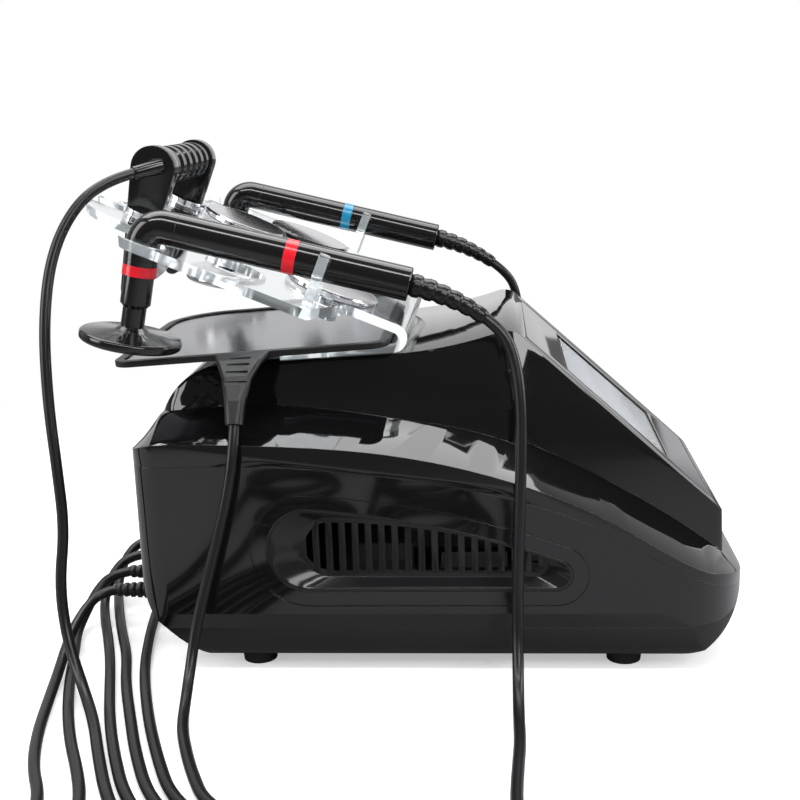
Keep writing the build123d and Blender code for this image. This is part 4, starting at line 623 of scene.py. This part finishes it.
COVER = Finish("cover gloss", (0.0032, 0.0032, 0.0036), 0.055, 0.03, 700.0, 0.015, 16.0, 0.55)
BODY = Finish("body gloss", (0.0036, 0.0036, 0.0042), 0.07, 0.04, 800.0, 0.015, 14.0, 0.5)
TRAY = Finish("tray plastic", (0.009, 0.009, 0.0095), 0.38, 0.08, 1200.0, 0.10)
GRILLE = Finish("grille plastic", (0.010, 0.010, 0.011), 0.16, 0.05, 1100.0, 0.04)
BEZEL = Finish("bezel gloss", (0.003, 0.003, 0.0035), 0.06, 0.03, 700.0, 0.01, 18.0, 0.5)
PANEL = Finish("rear panel paint", (0.012, 0.012, 0.013), 0.36, 0.06, 1500.0, 0.14)
FITTING = Finish("socket nickel", (0.62, 0.60, 0.57), 0.22, 0.06, 500.0, 0.04, 60.0, 0.0, 1.0)
INLET = Finish("inlet plastic", (0.012, 0.012, 0.012), 0.42, 0.06, 1300.0, 0.08)
PINS = Finish("pin brass", (0.70, 0.50, 0.22), 0.25, 0.05, 500.0, 0.03, 60.0, 0.0, 1.0)
ROCKER = Finish("rocker plastic", (0.014, 0.014, 0.014), 0.18, 0.05, 1000.0, 0.03)
RUBBER = Rubber("foot rubber", (0.011, 0.011, 0.011), 0.55, 0.12)
MAT = Rubber("return plate rubber", (0.0075, 0.0075, 0.008), 0.40, 0.10)
BOOT = Rubber("boot rubber", (0.0055, 0.0055, 0.006), 0.24, 0.08)
SHEATH = Finish("cord sheath", (0.0075, 0.0075, 0.0085), 0.30, 0.10, 600.0, 0.06, 40.0)
PLUG = Finish("plug plastic", (0.010, 0.010, 0.010), 0.34, 0.08, 1000.0, 0.06)
SCREW = Finish("screw steel", (0.52, 0.52, 0.54), 0.26, 0.08, 500.0, 0.05, 80.0, 0.0, 1.0)
HANDLE = Finish("handle gloss", (0.0045, 0.0045, 0.005), 0.13, 0.05, 900.0, 0.02, 26.0, 0.35)
GRIP = Finish("grip gloss", (0.0055, 0.0055, 0.006), 0.16, 0.06, 900.0, 0.03, 26.0, 0.25)
RED = Finish("red band", (0.72, 0.006, 0.018), 0.24, 0.05, 900.0, 0.02, 40.0, 0.3)
BLUE = Finish("blue band", (0.008, 0.20, 0.36), 0.24, 0.05, 900.0, 0.02, 40.0, 0.3)
COLLAR = Finish("collar chrome", (0.72, 0.72, 0.74), 0.10, 0.04, 500.0, 0.02, 60.0, 0.0, 1.0)
BLADE = BrushedMetal("blade steel", (0.52, 0.53, 0.55), 0.24, 0.08, 500.0, 0.04, 40.0, 0.0, 1.0)
PLATE = BrushedMetal("return plate steel", (0.26, 0.265, 0.285), 0.17, 0.05, 900.0, 0.03, 12.0, 0.0, 1.0)
RACK = Acrylic("clear acrylic", (0.90, 0.945, 0.96), 0.03)
GLASS = ScreenGlass("screen glass", (0.97, 0.985, 0.98), 0.01, 0.05)
PICTURE = ScreenPicture("screen picture", (0.006, 0.006, 0.007), 0.35)
CIRCUITS = Boards("circuit board", (0.010, 0.060, 0.026), 0.5, 0.1)

# Directions of the heads' stems and of the deck's normal
STEM = (-0.20791, 0.0, -0.97815)
UP = (0.3859, 0.0, 0.92254)


def turned(name: str, node: str, axis: Point) -> TurnedMetal:
    """Makes turned steel round the middle of a node.

    Args:
        name: the finish's name.
        node: the node that wears it.
        axis: the direction that it was turned round.

    Returns:
        The finish.
    """
    low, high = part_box(node)
    return TurnedMetal(
        name, (0.66, 0.66, 0.68), 0.13, 0.06, 500.0, 0.02, 60.0, 0.0, 1.0,
        centre=tuple((low + high) / 2), axis=axis,
    )


@dataclass
class Assembly:
    """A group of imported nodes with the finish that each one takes."""

    finishes: dict[str, Finish] = field(default_factory=dict)

    def dress(self, nodes: dict[str, bpy.types.Object]) -> None:
        """Gives each node its finish.

        Args:
            nodes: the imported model's objects by name.
        """
        for name, finish in self.finishes.items():
            piece = nodes[name]
            piece.data.materials.clear()
            piece.data.materials.append(finish.material())
            log.info("%s wears %s", name, finish.name)


def console() -> Assembly:
    """Dresses the housing and what is fixed in it.

    Returns:
        The housing's nodes with their finishes.
    """
    return Assembly({
        "base_tray": TRAY, "lower_body": BODY, "vent_inserts": GRILLE, "upper_cover": COVER,
        "display_bezel": BEZEL, "touch_glass": GLASS, "display_module": PICTURE, "rear_panel": PANEL,
        "output_sockets": FITTING, "inlet_module": INLET, "inlet_pins": PINS, "switch_frame": INLET,
        "switch_rocker": ROCKER, "fan_frame": INLET, "fan_rotor": INLET, "rubber_feet": RUBBER,
        "foot_screws": SCREW, "electronics": CIRCUITS, "cord_plugs": PLUG,
    })


def rack() -> Assembly:
    """Dresses the clear rack, its clips and screws, and the spare electrodes in its holes.

    Returns:
        The rack's nodes with their finishes.
    """
    return Assembly({
        "rack_sheet": RACK, "pen_clips": RACK, "rack_screws": SCREW,
        "spare_1_body": turned("spare steel 1", "spare_1_body", UP),
        "spare_1_face": turned("spare face 1", "spare_1_face", UP),
        "spare_2_body": HANDLE, "spare_2_face": turned("spare face 2", "spare_2_face", UP),
        "spare_3_body": turned("spare steel 3", "spare_3_body", UP),
        "spare_3_face": turned("spare face 3", "spare_3_face", UP),
    })


def pen(colour: str, band: Finish) -> Assembly:
    """Dresses one pen and its detachable electrode.

    Args:
        colour: the colour in the nodes' names.
        band: the finish of its two bands.

    Returns:
        The pen's nodes with their finishes.
    """
    disc = HANDLE if colour == "red" else turned("blue disc steel", "blue_head_disc", STEM)
    return Assembly({
        f"{colour}_pen_barrel": HANDLE, f"{colour}_pen_band": band, f"{colour}_pen_elbow": HANDLE,
        f"{colour}_pen_boot": BOOT, f"{colour}_head_sleeve": HANDLE, f"{colour}_head_band": band,
        f"{colour}_head_disc": disc,
        f"{colour}_head_face": turned(f"{colour} face steel", f"{colour}_head_face", STEM),
    })


def blade_handle() -> Assembly:
    """Dresses the ribbed handle and its blade.

    Returns:
        The handle's nodes with their finishes.
    """
    return Assembly({
        "blade_grip": GRIP, "blade_legs": HANDLE, "blade_fittings": COLLAR, "blade_plate": BLADE,
    })


def return_plate() -> Assembly:
    """Dresses the return plate in its rim."""
    return Assembly({"return_plate_steel": PLATE, "return_plate_rim": MAT, "return_plate_relief": MAT})


@dataclass
class RoundedPiece:
    """A copy of a CAD node with joined faces and rounded edges, which stands for that node."""

    node: str
    width: float
    segments: int = 3
    crease: float = 30.0
    weld: float = 0.00001
    flat: float = 0.6

    def build(self, nodes: dict[str, bpy.types.Object], record: dict) -> bpy.types.Object:
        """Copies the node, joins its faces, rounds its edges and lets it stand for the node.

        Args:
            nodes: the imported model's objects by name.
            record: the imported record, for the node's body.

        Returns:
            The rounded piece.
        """
        piece = bpy.data.objects.new(f"{self.node}_rounded", nodes[self.node].data.copy())
        bpy.context.collection.objects.link(piece)
        bpy.ops.object.select_all(action="DESELECT")
        piece.select_set(True)
        bpy.context.view_layer.objects.active = piece
        bpy.ops.object.mode_set(mode="EDIT")
        bpy.ops.mesh.select_all(action="SELECT")
        bpy.ops.mesh.remove_doubles(threshold=self.weld)
        bpy.ops.mesh.dissolve_limited(angle_limit=radians(self.flat))
        bpy.ops.object.mode_set(mode="OBJECT")
        edges = piece.modifiers.new("edges", "BEVEL")
        edges.width = self.width
        edges.segments = self.segments
        edges.limit_method = "ANGLE"
        edges.angle_limit = radians(self.crease)
        bpy.ops.object.modifier_apply(modifier=edges.name)
        bpy.ops.object.shade_smooth_by_angle(angle=radians(self.crease))
        body = next(name for name, held in record["behaviour"]["bodies"].items() if self.node in held)
        part = next(part for part in record["subparts"] if part["node"] == self.node)
        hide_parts(self.node)
        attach(piece, body)
        log.info("%s is rounded into %d faces", self.node, len(piece.data.polygons))
        return piece


@dataclass
class CordLine:
    """One cord from its handle down to the floor, round its coil and back to its plug."""

    owner: str
    down: tuple[Point, ...]
    back: tuple[Point, ...]
    coil: tuple[float, float]
    winding: Winding = Winding.HALF
    body: str = "console"
    radius: float = 0.042
    pitch: float = 0.0079
    rise: float = 0.0077
    floor: float = 0.0036
    steps: int = 6
    length: float = 1.8
    order: int = 3
    smooth: int = 8
    round_steps: int = 3

    def turns(self) -> list[Point]:
        """Places the coil's points from its floor end to its upper end, a twelfth of a turn apart.

        Returns:
            The points.
        """
        x, y, z, sign = self.coil[0] - self.radius, self.coil[1], self.floor, 1
        step = pi / self.steps
        points = []
        for index in range(self.winding.value):
            inward = min(index, Winding.HALF.value - 1 - index)
            climb = self.rise if index == Winding.HALF.value // 2 else 0.0
            reach = self.radius - inward * self.pitch / 2
            out = reach / cos(step / 2)
            for count in range(self.steps):
                angle = (count + 0.5) * step
                points.append((
                    x + sign * (reach - out * cos(angle)),
                    y - sign * out * sin(angle),
                    z + climb * (count + 0.5) / self.steps,
                ))
            x, z, sign = x + sign * 2 * reach, z + climb, -sign
        if self.winding is Winding.QUARTER:
            out = self.radius / cos(step / 2)
            for count in range(self.steps // 2):
                angle = (count + 0.5) * step
                points.append((x + self.radius - out * cos(angle), y - out * sin(angle), z))
        return points

    def build(self) -> bpy.types.Object:
        """Returns:
            The cord's curve object.
        """
        line = [*self.down, *reversed(self.turns()), *self.back]
        curve = bpy.data.curves.new(f"{self.owner}_line", "CURVE")
        curve.dimensions = "3D"
        spline = curve.splines.new("NURBS")
        spline.points.add(len(line) - 1)
        for point, place in zip(spline.points, line):
            point.co = (*place, 1.0)
        spline.order_u = self.order
        spline.use_endpoint_u = True
        spline.resolution_u = curve.resolution_u = self.smooth
        curve.bevel_depth = CORD_RADIUS
        curve.bevel_resolution = self.round_steps
        curve.use_fill_caps = True
        piece = bpy.data.objects.new(f"{self.owner}_line", curve)
        bpy.context.collection.objects.link(piece)
        curve.materials.append(SHEATH.material())
        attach(piece, self.body)
        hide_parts(f"{self.owner}_cord", f"{self.owner}_cord_coil")
        log.info("%s cord has %d points", self.owner, len(line))
        return piece


@dataclass
class Lamp:
    """A soft rectangular lamp."""

    name: str
    place: Point
    target: Point
    size: tuple[float, float]
    power: float

    def build(self) -> None:
        """Adds the lamp and turns it towards its target."""
        data = bpy.data.lights.new(self.name, "AREA")
        data.shape = "RECTANGLE"
        data.size, data.size_y = self.size
        data.energy = self.power
        lamp = bpy.data.objects.new(self.name, data)
        lamp.location = self.place
        towards = Vector(self.target) - Vector(self.place)
        lamp.rotation_euler = towards.to_track_quat("-Z", "Y").to_euler()
        bpy.context.collection.objects.link(lamp)


@dataclass
class Studio:
    """White floor and surroundings, soft lamps and the camera."""

    eye: Point = (0.0500, -0.8828, 0.3593)
    right: Point = (0.99706, 0.07010, -0.03082)
    above: Point = (0.01365, 0.23341, 0.97228)
    behind: Point = (0.07535, -0.96985, 0.23177)
    lens: float = 56.66
    sensor: float = 36.0
    nearest: float = 0.01
    ground_size: float = 14.0
    ground: Colour = (0.86, 0.86, 0.87)
    ground_in_gloss: Colour = (0.30, 0.30, 0.31)
    ground_glow: float = 0.42
    shadow_reach: tuple[float, float] = (0.34, 0.85)
    world_light: float = 0.42
    gloss_behind: float = 0.75
    gloss_least: float = 0.10
    gloss_power: float = 3.0
    lamps: tuple[Lamp, ...] = (
        Lamp("top box", (-0.10, 0.35, 1.25), (0.0, 0.0, 0.15), (1.7, 0.8), 17.0),
        Lamp("strip box", (0.0, -0.62, 1.20), (0.0, -0.10, 0.06), (1.5, 0.14), 7.0),
        Lamp("left box", (-1.25, -0.55, 0.75), (0.0, 0.0, 0.15), (0.6, 1.1), 9.0),
        Lamp("front box", (0.75, -1.25, 1.05), (0.05, 0.0, 0.12), (0.8, 0.5), 8.0),
        Lamp("right box", (1.25, 0.15, 0.60), (0.1, 0.0, 0.15), (0.5, 0.9), 7.0),
    )

    def floor(self) -> None:
        """Adds the floor: white to the camera, with the object's shadow, and darker in reflections."""
        bpy.ops.mesh.primitive_plane_add(size=self.ground_size, location=(0, 0, 0))
        ground = bpy.context.object
        ground.name = "studio_floor"
        made = bpy.data.materials.new("studio floor")
        surface = Surface(made)
        seen = surface.ray(Ray.CAMERA) + surface.ray(Ray.THROUGH) > 0.5
        matt = surface.node("ShaderNodeBsdfDiffuse", None, {"Color": (*self.ground, 1.0)})
        dark = surface.node("ShaderNodeBsdfDiffuse", None, {"Color": (*self.ground_in_gloss, 1.0)})
        lit = surface.node("ShaderNodeAddShader", None, {0: matt, 1: surface.glow(self.ground_glow)})
        start, end = self.shadow_reach
        reach = {"Value": surface.place().length(), "From Min": start, "From Max": end}
        far = surface.node("ShaderNodeMapRange", None, reach)
        shown = surface.node("ShaderNodeMixShader", None, {0: far, 1: lit, 2: surface.glow(1.0)})
        both = surface.node("ShaderNodeMixShader", None, {0: seen, 1: dark, 2: shown})
        surface.raw("ShaderNodeOutputMaterial", {}, {"Surface": both})
        ground.data.materials.append(made)

    def sky(self) -> None:
        """Lights the scene evenly and shows white where the camera or a clear piece looks past it."""
        world = bpy.data.worlds.new("studio")
        bpy.context.scene.world = world
        surface = Surface(world)
        glossy = surface.ray(Ray.GLOSSY)
        seen = surface.ray(Ray.CAMERA) + surface.ray(Ray.THROUGH) > 0.5
        towards = surface.node("ShaderNodeTexCoord", out="Generated").part(1) * 0.5 + 0.5
        behind = towards ** self.gloss_power * self.gloss_behind + self.gloss_least
        level = seen + (1.0 - seen) * (glossy * behind + (1.0 - glossy) * self.world_light)
        white = surface.node("ShaderNodeBackground", None, {"Color": WHITE, "Strength": level})
        surface.raw("ShaderNodeOutputWorld", {}, {"Surface": white})

    def camera(self) -> None:
        """Adds the camera at the photograph's place."""
        data = bpy.data.cameras.new("camera")
        data.lens = self.lens
        data.sensor_width = self.sensor
        data.clip_start = self.nearest
        piece = bpy.data.objects.new("camera", data)
        columns = (self.right, self.above, self.behind)
        turn = Matrix([[column[row] for column in columns] for row in range(3)]).to_4x4()
        piece.matrix_world = Matrix.Translation(self.eye) @ turn
        bpy.context.collection.objects.link(piece)
        bpy.context.scene.camera = piece

    def build(self) -> None:
        """Sets up the floor, surroundings, lamps and camera."""
        self.floor()
        self.sky()
        for lamp in self.lamps:
            lamp.build()
        self.camera()
        bpy.context.scene.view_settings.view_transform = "Standard"


CORDS = (
    CordLine("blade", BLADE_DOWN, BLADE_BACK, (-0.115, -0.435), length=1.7),
    CordLine("blue", BLUE_DOWN, BLUE_BACK, (-0.009, -0.435), length=2.3),
    CordLine("plate", PLATE_DOWN, PLATE_BACK, (-0.020, -0.545), length=1.85),
    CordLine("red", RED_DOWN, RED_BACK, (-0.143, -0.545), Winding.QUARTER, length=1.86),
)
ROUNDED = (
    RoundedPiece("upper_cover", 0.0014), RoundedPiece("base_tray", 0.0012),
    RoundedPiece("display_bezel", 0.0008), RoundedPiece("blade_legs", 0.0012),
    RoundedPiece("vent_inserts", 0.0004, segments=2), RoundedPiece("return_plate_rim", 0.0008),
    RoundedPiece("red_head_disc", 0.0006), RoundedPiece("blue_head_disc", 0.0006),
)


def spread(box: tuple[Vector, Vector]) -> list[list[float]]:
    """A box's corners as plain lists."""
    return [[float(part) for part in corner] for corner in box]


def main() -> None:
    """Builds the dressed machine in its studio."""
    logging.basicConfig(level=logging.INFO, format="%(name)s: %(message)s")
    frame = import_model()
    bpy.ops.object.select_all(action="DESELECT")
    groups = (console(), rack(), pen("red", RED), pen("blue", BLUE), blade_handle(), return_plate())
    for group in groups:
        group.dress(frame["nodes"])
    for rounded in ROUNDED:
        rounded.build(frame["nodes"], frame["record"])
    for cord in CORDS:
        cord.build()
    Studio().build()


if __name__ == "__main__":
    main()
